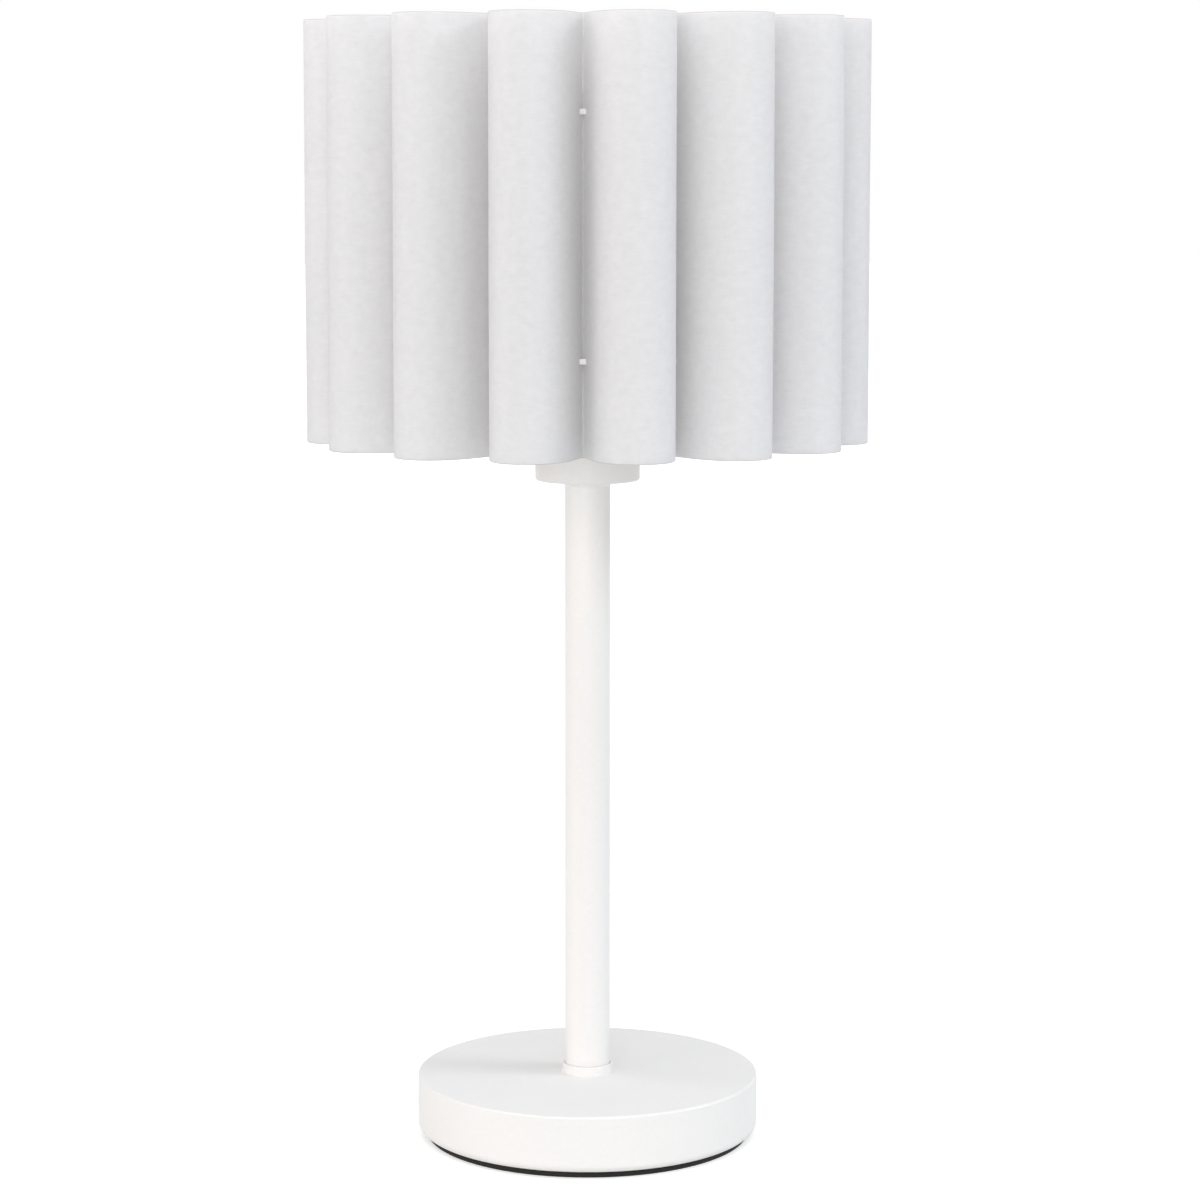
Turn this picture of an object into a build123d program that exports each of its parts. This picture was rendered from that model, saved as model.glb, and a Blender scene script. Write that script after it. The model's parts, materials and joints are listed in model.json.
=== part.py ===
"""Table lamp: round weighted base, pole, screw lampholder in a cup, and a scalloped cloth shade.

All sizes are in millimetres. The origin is on the pole's axis at the table top, +Z is up and
the front is towards -Y. The pieces are grouped as they come apart: base, pole, lampholder,
shade and bulb.
"""

import os
from math import acos, atan2, cos, hypot, radians, sin, sqrt

from build123d import *

# Clearances
press_gap = 0.02
seat_gap = 0.05
running_gap = 0.06
loose_gap = 0.3

# Threads, drawn as plain cylinders
rod_radius = 5.0
rod_bore_radius = 3.5
nut_flats = 14.0
nut_height = 3.0

# Slots in the heads of all screws
slot_width = 0.8
slot_depth = 0.7

# Base shell, rolled in at its lower edge
base_radius = 77.2
base_height = 25.3
base_wall = 1.5
base_top_rounding = 1.0
base_bottom_rounding = 3.6
shell_lip_width = 6.2

# Foam pad and closing plate
pad_thickness = 2.8
pad_inset = 3.7
plate_thickness = 2.0
plate_screw_count = 3
plate_screw_inset = 12.7
plate_screw_angle = 30.0
plate_screw_radius = 1.5
plate_screw_head_radius = 2.9
plate_screw_length = 9.0

# Ballast
weight_thickness = 12.0
weight_wall_gap = 5.3
weight_recess_radius = 15.0
weight_recess_depth = 5.0
boss_radius = 6.0
clamp_washer_radius = 12.0
clamp_washer_thickness = 1.5
rod_overhang = 1.5

# Cord inlet in the back of the shell
inlet_height = 11.5
inlet_bore_radius = 3.4
inlet_barrel_radius = 4.4
inlet_flange_radius = 6.0
inlet_flange_thickness = 1.5
inlet_flange_chamfer = 0.75
inlet_snap_radius = 5.2
inlet_snap_thickness = 1.5

# Terminal block under the ballast
block_width = 24.0
block_depth = 16.0
block_height = 9.0
block_corner = 1.0
block_centre_y = 42.0
pole_pitch = 8.0
pole_count = 3
sleeve_radius = 2.3
sleeve_bore_radius = 1.3
sleeve_height_in_block = 4.6
terminal_screw_radius = 1.25
terminal_screw_spacing = 8.0
terminal_screw_depth_in_block = 0.6
block_screw_radius = 1.25
block_screw_head_radius = 2.2
block_screw_head_height = 1.6
block_screw_bite = 6.0

# Earth tag on the ballast
earth_tag_x = 34.0
earth_tag_y = 16.0
earth_tag_radius = 4.0
earth_tag_thickness = 0.8
earth_barrel_radius = 1.7
earth_barrel_length = 6.0
earth_barrel_start = 4.0
earth_screw_radius = 2.0
earth_screw_head_radius = 3.6
earth_screw_head_height = 2.2
earth_screw_bite = 7.0

# Leads
lead_radius = 1.1
lead_offset = 1.5
lead_past_screw = 0.75
lead_straight_run = 10.0
lead_low_height = 7.0
lead_block_bend = 20.0
lead_rod_bend = 8.0
lead_fan_start = 0.8
lead_fan_height = 2.8
lead_end_below_seat = 1.7
lead_live_bend = 3.2
lead_neutral_bend = 3.0
lead_earth_turn_x = 12.0
lead_earth_first_bend = 12.0
lead_earth_second_bend = 6.0

# Pole
pole_radius = 10.2
pole_wall = 1.2
plug_length = 10.0
rod_end_above_plug = 2.0
foot_collar_radius = 11.55
foot_collar_height = 4.1
foot_collar_chamfer = 0.4
neck_collar_radius = 11.1
neck_collar_height = 2.3
neck_collar_chamfer = 0.8

# Cup round the lampholder
cup_bottom = 298.9
cup_radius = 23.45
cup_wall = 0.8
cup_rounding = 1.2
cup_washer_radius = 8.5
cup_washer_thickness = 1.0
washer_tooth_count = 16
washer_tooth_depth = 0.8

# Screw lampholder
holder_thread_radius = 19.8
holder_cap_radius = 19.3
holder_cap_height = 22.5
holder_cap_rounding = 4.0
holder_cap_floor = 2.2
holder_cap_bore_radius = 17.5
holder_cap_wall_below_seat = 3.0
holder_boss_radius = 8.0
holder_boss_height = 6.5
insert_seat_height = 17.3
insert_flange_thickness = 2.5
insert_radius = 14.6
insert_height = 10.0
skirt_inner_radius = 15.0
skirt_top_above_seat = 39.0
skirt_mouth_radius = 14.4
skirt_mouth_height = 3.0
shell_radius = 13.65
shell_wall = 0.4
shell_height = 24.0
shell_floor_hole_radius = 5.2
contact_strip_width = 5.0
contact_strip_thickness = 0.5
contact_height = 3.0
contact_reach = 4.2
contact_bend_x = -2.6
rivet_radius = 1.0
rivet_head_radius = 1.6
rivet_head_height = 0.5
live_rivet_x = 3.0
neutral_rivet_x = -9.5
holder_terminal_length = 8.0
holder_terminal_width = 6.0
holder_terminal_height = 5.0
live_terminal_x = 6.0
neutral_terminal_x = -9.0
holder_screw_head_radius = 2.0
holder_screw_head_height = 1.5
holder_screw_length = 4.8

# Retaining ring on the lampholder's outer thread
retaining_flange_radius = 25.0
retaining_flange_thickness = 2.0
retaining_grip_radius = 23.2
retaining_height = 6.0
grip_rib_count = 24
grip_rib_radius = 0.7

# Shade cloth: lobes of two arcs each, straight walls and a small fold in each valley
shade_radius = 125.0
shade_bottom = 316.8
shade_height = 185.5
lobe_count = 15
lobe_half_width = 17.5
lobe_nose_radius = 15.1
lobe_side_radius = 30.3
valley_radius = 89.5
valley_fold_radius = 0.9
cloth_thickness = 1.0
shade_turn = -1.2

# Shade frame
tie_inset = 40.8
ring_from_tie = 8.0
ring_wire_radius = 1.25
upright_radius = 1.0
upright_overhang = 4.0
arm_radius = 1.5
arm_count = 3
arm_inner_radius = 26.5
fitter_radius = 33.0
fitter_thickness = 1.5

# Ties
tie_height = 2.4
tie_width = 3.2
tie_thickness = 0.5
tie_front_radius = 93.4
tie_corner = 0.2
slit_gap = 0.1
tie_head_depth = 2.4
tie_head_width = 4.0
tie_head_height = 3.4

# Bulb with a 27 mm screw cap
bulb_radius = 30.0
bulb_length = 108.0
bulb_globe_wall = 1.2
bulb_split_below_centre = 13.0
bulb_neck_radius = 13.9
bulb_bore_radius = 11.5
bulb_cap_wall = 0.35
bulb_cap_start = 7.0
bulb_cap_height = 18.0
bulb_cap_foot_height = 3.4
bulb_foot_hole_radius = 8.2
bulb_foot_gap = 0.1
bulb_tip_radius = 4.6
bulb_tip_height = 1.5
bulb_tip_rounding = 0.75
bulb_stem_radius = 1.5
bulb_stem_height = 5.0
bulb_insulator_height = 6.0
led_board_radius = 24.5
led_board_thickness = 1.6
bulb_inner_gap = 0.1

# Heights that follow from the sizes above
base_bottom = pad_thickness
base_top = base_bottom + base_height
shell_ceiling = base_top - base_wall
plate_top = base_bottom + plate_thickness
weight_bottom = shell_ceiling - weight_thickness
recess_ceiling = weight_bottom + weight_recess_depth
clamp_nut_top = recess_ceiling - clamp_washer_thickness
clamp_nut_bottom = clamp_nut_top - nut_height
clamp_rod_bottom = clamp_nut_bottom - rod_overhang
clamp_rod_top = base_top + plug_length + rod_end_above_plug
block_bottom = weight_bottom - block_height
sleeve_height = block_bottom + sleeve_height_in_block
earth_barrel_height = weight_bottom - seat_gap - earth_barrel_radius
pole_top = cup_bottom - neck_collar_height
cup_floor = cup_bottom + cup_wall
cup_nut_bottom = cup_floor + cup_washer_thickness
holder_bottom = cup_nut_bottom + nut_height
holder_boss_top = holder_bottom + holder_boss_height
head_rod_bottom = pole_top - plug_length - rod_end_above_plug
head_rod_top = holder_boss_top - seat_gap
holder_cap_top = holder_bottom + holder_cap_height
insert_seat = holder_bottom + insert_seat_height
insert_flange_top = insert_seat + insert_flange_thickness
insert_top = insert_seat + insert_height
skirt_top = insert_seat + skirt_top_above_seat
contact_top = insert_top + contact_height
holder_terminal_bottom = insert_seat - holder_terminal_height
tie_low = shade_bottom + tie_inset
tie_high = shade_bottom + shade_height - tie_inset
ring_low = tie_low - ring_from_tie
ring_high = tie_high + ring_from_tie
fitter_top = ring_low - arm_radius
cup_top = fitter_top - fitter_thickness
bulb_bottom = contact_top + seat_gap
bulb_centre = bulb_bottom + bulb_length - bulb_radius
bulb_split = bulb_centre - bulb_split_below_centre
bulb_split_radius = sqrt(bulb_radius**2 - bulb_split_below_centre**2)

# Radii that follow from the sizes above
shell_inner_wall = base_radius - base_wall
shell_lip_radius = base_radius - shell_lip_width
weight_radius = shell_inner_wall - weight_wall_gap
plate_radius = shell_lip_radius - loose_gap
plate_screw_circle = plate_radius - plate_screw_inset
pad_radius = base_radius - pad_inset
rod_hole_radius = rod_radius + seat_gap
pole_bore_radius = pole_radius - pole_wall
valley_inner_radius = valley_radius - cloth_thickness
upright_circle = valley_inner_radius - seat_gap - upright_radius
ring_circle = upright_circle - upright_radius - seat_gap - ring_wire_radius
tie_back_radius = upright_circle - upright_radius - seat_gap - tie_thickness
fitter_hole_radius = holder_thread_radius + loose_gap
shell_inner_radius = shell_radius - shell_wall
bulb_cap_radius = shell_inner_radius - running_gap
lobe_step = 360.0 / lobe_count
first_lobe_angle = 90.0 + shade_turn
first_valley_angle = first_lobe_angle + lobe_step / 2

UPWARDS = (Align.CENTER, Align.CENTER, Align.MIN)
DOWNWARDS = (Align.CENTER, Align.CENTER, Align.MAX)

os.makedirs("parts", exist_ok=True)


def save(part, name):
    """Label a finished piece and write it to its own file."""
    part.label = name
    export_step(part, f"parts/{name}.step")


def ring(outer_radius, inner_radius, bottom, top, mode=Mode.ADD):
    """Add an upright ring about the pole's axis, or a disc where the inner radius is zero."""
    with BuildSketch(Plane.XY.offset(bottom)) as section:
        Circle(outer_radius)
        if inner_radius > 0:
            Circle(inner_radius, mode=Mode.SUBTRACT)
    extrude(section.sketch, amount=top - bottom, mode=mode)


def turned(points, mode=Mode.ADD):
    """Add the solid that a closed outline of (radius, height) points sweeps about the axis."""
    with BuildSketch(Plane.XZ) as section:
        with BuildLine():
            Polyline(*points, close=True)
        make_face()
    revolve(section.sketch, axis=Axis.Z, mode=mode)


def hex_nut(bottom):
    """Add a thin hexagon nut round the hollow rod."""
    with BuildSketch(Plane.XY.offset(bottom)) as section:
        RegularPolygon(nut_flats / 2, 6, major_radius=False)
        Circle(rod_hole_radius, mode=Mode.SUBTRACT)
    extrude(section.sketch, amount=nut_height)


def lead(points, radii):
    """Add a round lead along straight runs joined by tangent arcs."""
    with BuildLine() as route:
        FilletPolyline(*points, radius=radii)
    with BuildSketch(Plane(points[0], z_dir=route.line % 0)) as section:
        Circle(lead_radius)
    sweep(section.sketch, path=route.line)


# Base shell
with BuildPart() as base_shell:
    with BuildSketch(Plane.XZ):
        with Locations((0, base_bottom)):
            Rectangle(base_radius, base_height, align=(Align.MIN, Align.MIN))
        rim_corners = vertices().group_by(Axis.X)[-1].sort_by(Axis.Y)
        fillet(rim_corners[0], radius=base_bottom_rounding)
        rim_corners = vertices().group_by(Axis.Y)[-1].sort_by(Axis.X)
        fillet(rim_corners[-1], radius=base_top_rounding)
    revolve(axis=Axis.Z)
    with BuildSketch(Plane.XZ):
        with Locations((0, base_bottom + base_wall)):
            Rectangle(shell_inner_wall, base_height - 2 * base_wall, align=(Align.MIN, Align.MIN))
        rim_corners = vertices().group_by(Axis.X)[-1].sort_by(Axis.Y)
        fillet(rim_corners[0], radius=base_bottom_rounding - base_wall)
    revolve(axis=Axis.Z, mode=Mode.SUBTRACT)
    ring(shell_lip_radius, 0, base_bottom, base_bottom + base_wall, mode=Mode.SUBTRACT)
    ring(rod_hole_radius, 0, shell_ceiling, base_top, mode=Mode.SUBTRACT)
    with BuildSketch(Plane.XZ.offset(-base_radius)):
        with Locations((0, inlet_height)):
            Circle(inlet_barrel_radius + seat_gap)
    extrude(amount=base_radius - weight_radius, mode=Mode.SUBTRACT)
save(base_shell.part, "base_shell")

# Ballast with three bosses for the plate and a recess for the nut
with BuildPart() as base_weight:
    ring(weight_radius, rod_hole_radius, weight_bottom, shell_ceiling)
    ring(weight_recess_radius, 0, weight_bottom, recess_ceiling, mode=Mode.SUBTRACT)
    with BuildSketch(Plane.XY.offset(plate_top)):
        with PolarLocations(plate_screw_circle, plate_screw_count, plate_screw_angle):
            Circle(boss_radius)
    extrude(amount=weight_bottom - plate_top)
    with BuildSketch(Plane.XY.offset(plate_top)):
        with PolarLocations(plate_screw_circle, plate_screw_count, plate_screw_angle):
            Circle(plate_screw_radius + seat_gap)
    extrude(amount=plate_screw_length, mode=Mode.SUBTRACT)
    with BuildSketch(Plane.XY.offset(weight_bottom)):
        with Locations((pole_pitch / 2, block_centre_y)):
            Circle(block_screw_radius + seat_gap)
    extrude(amount=block_screw_bite + seat_gap, mode=Mode.SUBTRACT)
    with BuildSketch(Plane.XY.offset(weight_bottom)):
        with Locations((earth_tag_x, earth_tag_y)):
            Circle(earth_screw_radius + seat_gap)
    extrude(amount=earth_screw_bite + seat_gap, mode=Mode.SUBTRACT)
save(base_weight.part, "base_weight")

# Closing plate with countersunk holes
plate_sink_depth = plate_screw_head_radius - plate_screw_radius
with BuildPart() as base_plate:
    ring(plate_radius, 0, base_bottom, plate_top)
    with BuildSketch(Plane.XY.offset(base_bottom)):
        with PolarLocations(plate_screw_circle, plate_screw_count, plate_screw_angle):
            Circle(plate_screw_radius + seat_gap)
    extrude(amount=plate_thickness, mode=Mode.SUBTRACT)
    with Locations(Plane.XY.offset(base_bottom)):
        with PolarLocations(plate_screw_circle, plate_screw_count, plate_screw_angle):
            Cone(
                plate_screw_head_radius + seat_gap,
                plate_screw_radius + seat_gap,
                plate_sink_depth,
                align=UPWARDS,
                mode=Mode.SUBTRACT,
            )
save(base_plate.part, "base_plate")

# Plate screws
with BuildPart() as plate_screws:
    with Locations(Plane.XY.offset(base_bottom)):
        with PolarLocations(plate_screw_circle, plate_screw_count, plate_screw_angle):
            Cone(plate_screw_head_radius, plate_screw_radius, plate_sink_depth, align=UPWARDS)
            Cylinder(plate_screw_radius, plate_screw_length, align=UPWARDS)
            Box(2 * plate_screw_head_radius, slot_width, slot_depth, align=UPWARDS, mode=Mode.SUBTRACT)
save(plate_screws.part, "plate_screws")

# Foam pad
with BuildPart() as base_pad:
    ring(pad_radius, 0, 0, pad_thickness)
save(base_pad.part, "base_pad")

# Cord inlet bush: flange outside, snap ring inside
snap_face = sqrt(shell_inner_wall**2 - inlet_snap_radius**2) - seat_gap
with BuildPart() as cord_inlet_bush:
    with BuildSketch(Plane.XZ.offset(-base_radius)):
        with Locations((0, inlet_height)):
            Circle(inlet_flange_radius)
    extrude(amount=-inlet_flange_thickness)
    chamfer(faces().sort_by(Axis.Y)[-1].edges(), length=inlet_flange_chamfer)
    with BuildSketch(Plane.XZ.offset(-base_radius)):
        with Locations((0, inlet_height)):
            Circle(inlet_barrel_radius)
    extrude(amount=base_radius - snap_face)
    with BuildSketch(Plane.XZ.offset(-snap_face)):
        with Locations((0, inlet_height)):
            Circle(inlet_snap_radius)
    extrude(amount=inlet_snap_thickness)
    with BuildSketch(Plane.XZ.offset(-base_radius - inlet_flange_thickness)):
        with Locations((0, inlet_height)):
            Circle(inlet_bore_radius)
    extrude(amount=base_radius + inlet_flange_thickness - weight_radius, mode=Mode.SUBTRACT)
save(cord_inlet_bush.part, "cord_inlet_bush")

# Terminal block with its sleeves and screws
block_back = block_centre_y + block_depth / 2
block_front = block_centre_y - block_depth / 2
screw_start = block_bottom + terminal_screw_depth_in_block
screw_end = sleeve_height - lead_radius - seat_gap
with BuildPart() as terminal_block:
    with BuildSketch(Plane.XY.offset(block_bottom)):
        with Locations((0, block_centre_y)):
            RectangleRounded(block_width, block_depth, block_corner)
    extrude(amount=block_height)
    with BuildSketch(Plane.XZ.offset(-block_back)):
        with Locations((0, sleeve_height)):
            with GridLocations(pole_pitch, 0, pole_count, 1):
                Circle(sleeve_radius + press_gap)
    extrude(amount=block_depth, mode=Mode.SUBTRACT)
    with BuildSketch(Plane.XY.offset(block_bottom)):
        with Locations((0, block_centre_y)):
            with GridLocations(pole_pitch, terminal_screw_spacing, pole_count, 2):
                Circle(terminal_screw_radius + 2 * seat_gap)
    extrude(amount=sleeve_height_in_block, mode=Mode.SUBTRACT)
    with BuildSketch(Plane.XY.offset(block_bottom)):
        with Locations((pole_pitch / 2, block_centre_y)):
            Circle(block_screw_radius + seat_gap)
    extrude(amount=block_height, mode=Mode.SUBTRACT)
    with BuildSketch(Plane.XY.offset(block_bottom)):
        with Locations((pole_pitch / 2, block_centre_y)):
            Circle(block_screw_head_radius + seat_gap)
    extrude(amount=block_screw_head_height, mode=Mode.SUBTRACT)
save(terminal_block.part, "terminal_block")

with BuildPart() as terminal_sleeves:
    with BuildSketch(Plane.XZ.offset(-block_back)):
        with Locations((0, sleeve_height)):
            with GridLocations(pole_pitch, 0, pole_count, 1):
                Circle(sleeve_radius)
                Circle(sleeve_bore_radius, mode=Mode.SUBTRACT)
    extrude(amount=block_depth)
    with BuildSketch(Plane.XY.offset(block_bottom)):
        with Locations((0, block_centre_y)):
            with GridLocations(pole_pitch, terminal_screw_spacing, pole_count, 2):
                Circle(terminal_screw_radius + seat_gap)
    extrude(amount=sleeve_height_in_block, mode=Mode.SUBTRACT)
save(terminal_sleeves.part, "terminal_sleeves")

with BuildPart() as terminal_screws:
    with BuildSketch(Plane.XY.offset(screw_start)):
        with Locations((0, block_centre_y)):
            with GridLocations(pole_pitch, terminal_screw_spacing, pole_count, 2):
                Circle(terminal_screw_radius)
    extrude(amount=screw_end - screw_start)
    with BuildSketch(Plane.XY.offset(screw_start)):
        with Locations((0, block_centre_y)):
            with GridLocations(pole_pitch, terminal_screw_spacing, pole_count, 2):
                Rectangle(2 * terminal_screw_radius, slot_width)
    extrude(amount=slot_depth, mode=Mode.SUBTRACT)
save(terminal_screws.part, "terminal_screws")

with BuildPart() as terminal_block_screw:
    with Locations((pole_pitch / 2, block_centre_y, block_bottom)):
        Cylinder(block_screw_head_radius, block_screw_head_height - seat_gap, align=UPWARDS)
        Cylinder(block_screw_radius, block_height + block_screw_bite, align=UPWARDS)
        Box(2 * block_screw_head_radius, slot_width, slot_depth, align=UPWARDS, mode=Mode.SUBTRACT)
save(terminal_block_screw.part, "terminal_block_screw")

# Earth tag, its screw and its lead
barrel_centre_x = earth_tag_x - earth_barrel_start - earth_barrel_length / 2
with BuildPart() as earth_tag:
    with BuildSketch(Plane.XY.offset(weight_bottom - earth_tag_thickness)):
        with Locations((earth_tag_x, earth_tag_y)):
            Circle(earth_tag_radius)
        with Locations((earth_tag_x, earth_tag_y)):
            Rectangle(
                earth_barrel_start + earth_barrel_length / 2,
                2 * earth_barrel_radius,
                align=(Align.MAX, Align.CENTER),
            )
        with Locations((earth_tag_x, earth_tag_y)):
            Circle(earth_screw_radius + seat_gap, mode=Mode.SUBTRACT)
    extrude(amount=earth_tag_thickness)
    with Locations((barrel_centre_x, earth_tag_y, earth_barrel_height)):
        Cylinder(earth_barrel_radius, earth_barrel_length, rotation=(0, 90, 0))
        Cylinder(
            lead_radius + seat_gap,
            earth_barrel_length + earth_barrel_start,
            rotation=(0, 90, 0),
            mode=Mode.SUBTRACT,
        )
save(earth_tag.part, "earth_tag")

with BuildPart() as earth_screw:
    with Locations((earth_tag_x, earth_tag_y, weight_bottom - earth_tag_thickness)):
        Cylinder(earth_screw_head_radius, earth_screw_head_height, align=DOWNWARDS)
        Cylinder(earth_screw_radius, earth_tag_thickness + earth_screw_bite, align=UPWARDS)
    with Locations((earth_tag_x, earth_tag_y, weight_bottom - earth_tag_thickness - earth_screw_head_height)):
        Box(2 * earth_screw_head_radius, slot_width, slot_depth, align=UPWARDS, mode=Mode.SUBTRACT)
save(earth_screw.part, "earth_screw")

lead_end_y = block_centre_y - terminal_screw_spacing / 2 + terminal_screw_radius + lead_past_screw
lead_turn_y = block_front - lead_straight_run
with BuildPart() as lead_earth:
    lead(
        [
            (pole_pitch, lead_end_y, sleeve_height),
            (pole_pitch, lead_turn_y, sleeve_height),
            (lead_earth_turn_x, earth_tag_y, earth_barrel_height),
            (barrel_centre_x + earth_barrel_length / 2, earth_tag_y, earth_barrel_height),
        ],
        [lead_earth_first_bend, lead_earth_second_bend],
    )
save(lead_earth.part, "lead_earth")


def mains_lead(block_x, rod_x, terminal_x, end_radius):
    """Add a lead from the terminal block up the pole to one of the lampholder's terminals."""
    fan_bottom = holder_boss_top + lead_fan_start
    lead(
        [
            (block_x, lead_end_y, sleeve_height),
            (block_x, lead_turn_y, sleeve_height),
            (rod_x, 0, lead_low_height),
            (rod_x, 0, fan_bottom),
            (terminal_x, 0, fan_bottom + lead_fan_height),
            (terminal_x, 0, insert_seat - lead_end_below_seat),
        ],
        [lead_block_bend, lead_rod_bend, end_radius, end_radius],
    )


with BuildPart() as lead_live:
    mains_lead(0, lead_offset, live_terminal_x, lead_live_bend)
save(lead_live.part, "lead_live")

with BuildPart() as lead_neutral:
    mains_lead(-pole_pitch, -lead_offset, neutral_terminal_x, lead_neutral_bend)
save(lead_neutral.part, "lead_neutral")

# Hollow rod, washer and nut that clamp shell and ballast to the pole
with BuildPart() as clamp_nipple:
    ring(rod_radius, rod_bore_radius, clamp_rod_bottom, clamp_rod_top)
save(clamp_nipple.part, "clamp_nipple")

with BuildPart() as clamp_washer:
    ring(clamp_washer_radius, rod_hole_radius, clamp_nut_top, recess_ceiling)
save(clamp_washer.part, "clamp_washer")

with BuildPart() as clamp_nut:
    hex_nut(clamp_nut_bottom)
save(clamp_nut.part, "clamp_nut")

# Pole with a threaded plug in each end
with BuildPart() as foot_plug:
    ring(pole_bore_radius - press_gap, rod_hole_radius, base_top, base_top + plug_length)
save(foot_plug.part, "foot_plug")

with BuildPart() as pole_tube:
    ring(pole_radius, pole_bore_radius, base_top, pole_top)
save(pole_tube.part, "pole_tube")

with BuildPart() as head_plug:
    ring(pole_bore_radius - press_gap, rod_hole_radius, pole_top - plug_length, pole_top)
save(head_plug.part, "head_plug")

with BuildPart() as foot_collar:
    ring(foot_collar_radius, pole_radius + loose_gap, base_top, base_top + foot_collar_height)
    chamfer(faces().sort_by(Axis.Z)[-1].edges().sort_by(SortBy.RADIUS)[-1], length=foot_collar_chamfer)
save(foot_collar.part, "foot_collar")

with BuildPart() as neck_collar:
    ring(neck_collar_radius, rod_hole_radius, pole_top, cup_bottom)
    chamfer(faces().sort_by(Axis.Z)[0].edges().sort_by(SortBy.RADIUS)[-1], length=neck_collar_chamfer)
save(neck_collar.part, "neck_collar")

with BuildPart() as head_nipple:
    ring(rod_radius, rod_bore_radius, head_rod_bottom, head_rod_top)
save(head_nipple.part, "head_nipple")

# Cup with its washer and nut
with BuildPart() as socket_cup:
    ring(cup_radius, 0, cup_bottom, cup_top)
    fillet(faces().sort_by(Axis.Z)[0].edges(), radius=cup_rounding)
    offset(amount=-cup_wall, openings=faces().sort_by(Axis.Z)[-1])
    ring(rod_hole_radius, 0, cup_bottom, cup_floor, mode=Mode.SUBTRACT)
save(socket_cup.part, "socket_cup")

with BuildPart() as cup_washer:
    with BuildSketch(Plane.XY.offset(cup_floor)):
        Circle(cup_washer_radius)
        with PolarLocations(cup_washer_radius, washer_tooth_count):
            Rectangle(2 * washer_tooth_depth, washer_tooth_depth, mode=Mode.SUBTRACT)
        Circle(rod_hole_radius, mode=Mode.SUBTRACT)
    extrude(amount=cup_washer_thickness)
save(cup_washer.part, "cup_washer")

with BuildPart() as cup_nut:
    hex_nut(cup_nut_bottom)
save(cup_nut.part, "cup_nut")

# Lower half of the lampholder
with BuildPart() as holder_cap:
    ring(holder_cap_radius, 0, holder_bottom, holder_cap_top)
    fillet(faces().sort_by(Axis.Z)[0].edges(), radius=holder_cap_rounding)
    ring(
        holder_cap_radius - holder_cap_wall_below_seat,
        holder_boss_radius,
        holder_bottom + holder_cap_floor,
        insert_seat,
        mode=Mode.SUBTRACT,
    )
    ring(holder_boss_radius, 0, holder_boss_top, insert_seat, mode=Mode.SUBTRACT)
    ring(holder_cap_bore_radius, 0, insert_seat, holder_cap_top, mode=Mode.SUBTRACT)
    ring(rod_hole_radius, 0, holder_bottom, holder_boss_top, mode=Mode.SUBTRACT)
save(holder_cap.part, "holder_cap")

# Ceramic block with two rivet holes
with BuildPart() as holder_insert:
    ring(holder_cap_bore_radius - 2 * seat_gap, 0, insert_seat, insert_flange_top)
    ring(insert_radius, 0, insert_flange_top, insert_top)
    with BuildSketch(Plane.XY.offset(insert_seat)):
        with Locations((live_rivet_x, 0), (neutral_rivet_x, 0)):
            Circle(rivet_radius + seat_gap)
    extrude(amount=insert_height, mode=Mode.SUBTRACT)
save(holder_insert.part, "holder_insert")

# Upper half of the lampholder, with the outer thread
with BuildPart() as holder_skirt:
    ring(holder_cap_bore_radius - seat_gap, skirt_inner_radius, insert_flange_top, holder_cap_top)
    ring(holder_thread_radius, skirt_inner_radius, holder_cap_top, skirt_top)
    ring(skirt_inner_radius, skirt_mouth_radius, skirt_top - skirt_mouth_height, skirt_top)
save(holder_skirt.part, "holder_skirt")

with BuildPart() as screw_shell:
    ring(shell_radius, shell_inner_radius, insert_top, insert_top + shell_height)
    ring(shell_inner_radius, shell_floor_hole_radius, insert_top, insert_top + shell_wall)
    with BuildSketch(Plane.XY.offset(insert_top)):
        with Locations((neutral_rivet_x, 0)):
            Circle(rivet_radius + seat_gap)
    extrude(amount=shell_wall, mode=Mode.SUBTRACT)
save(screw_shell.part, "screw_shell")

# Bent spring strip: a lower leg on the ceramic, a half turn and an upper leg under the bulb
bend_radius = contact_height / 2
with BuildPart() as centre_contact:
    with BuildSketch(Plane.XZ.offset(-contact_strip_width / 2)):
        with Locations((contact_bend_x, insert_top)):
            Rectangle(
                contact_reach - contact_bend_x,
                contact_strip_thickness,
                align=(Align.MIN, Align.MIN),
            )
        with Locations((contact_bend_x, contact_top)):
            Rectangle(
                contact_reach - contact_bend_x - contact_strip_thickness,
                contact_strip_thickness,
                align=(Align.MIN, Align.MAX),
            )
        with Locations((contact_bend_x, insert_top + bend_radius)):
            Circle(bend_radius)
            Circle(bend_radius - contact_strip_thickness, mode=Mode.SUBTRACT)
            Rectangle(
                bend_radius,
                2 * (bend_radius - contact_strip_thickness),
                align=(Align.MIN, Align.CENTER),
                mode=Mode.SUBTRACT,
            )
    extrude(amount=contact_strip_width)
    with BuildSketch(Plane.XY.offset(insert_top)):
        with Locations((live_rivet_x, 0)):
            Circle(rivet_radius + seat_gap)
    extrude(amount=contact_strip_thickness, mode=Mode.SUBTRACT)
save(centre_contact.part, "centre_contact")

with BuildPart() as contact_rivets:
    for rivet_x, plate in ((live_rivet_x, contact_strip_thickness), (neutral_rivet_x, shell_wall)):
        with Locations((rivet_x, 0, insert_seat)):
            Cylinder(rivet_radius, insert_height + plate, align=UPWARDS)
        with Locations((rivet_x, 0, insert_top + plate)):
            Cylinder(rivet_head_radius, rivet_head_height, align=UPWARDS)
save(contact_rivets.part, "contact_rivets")

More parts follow.
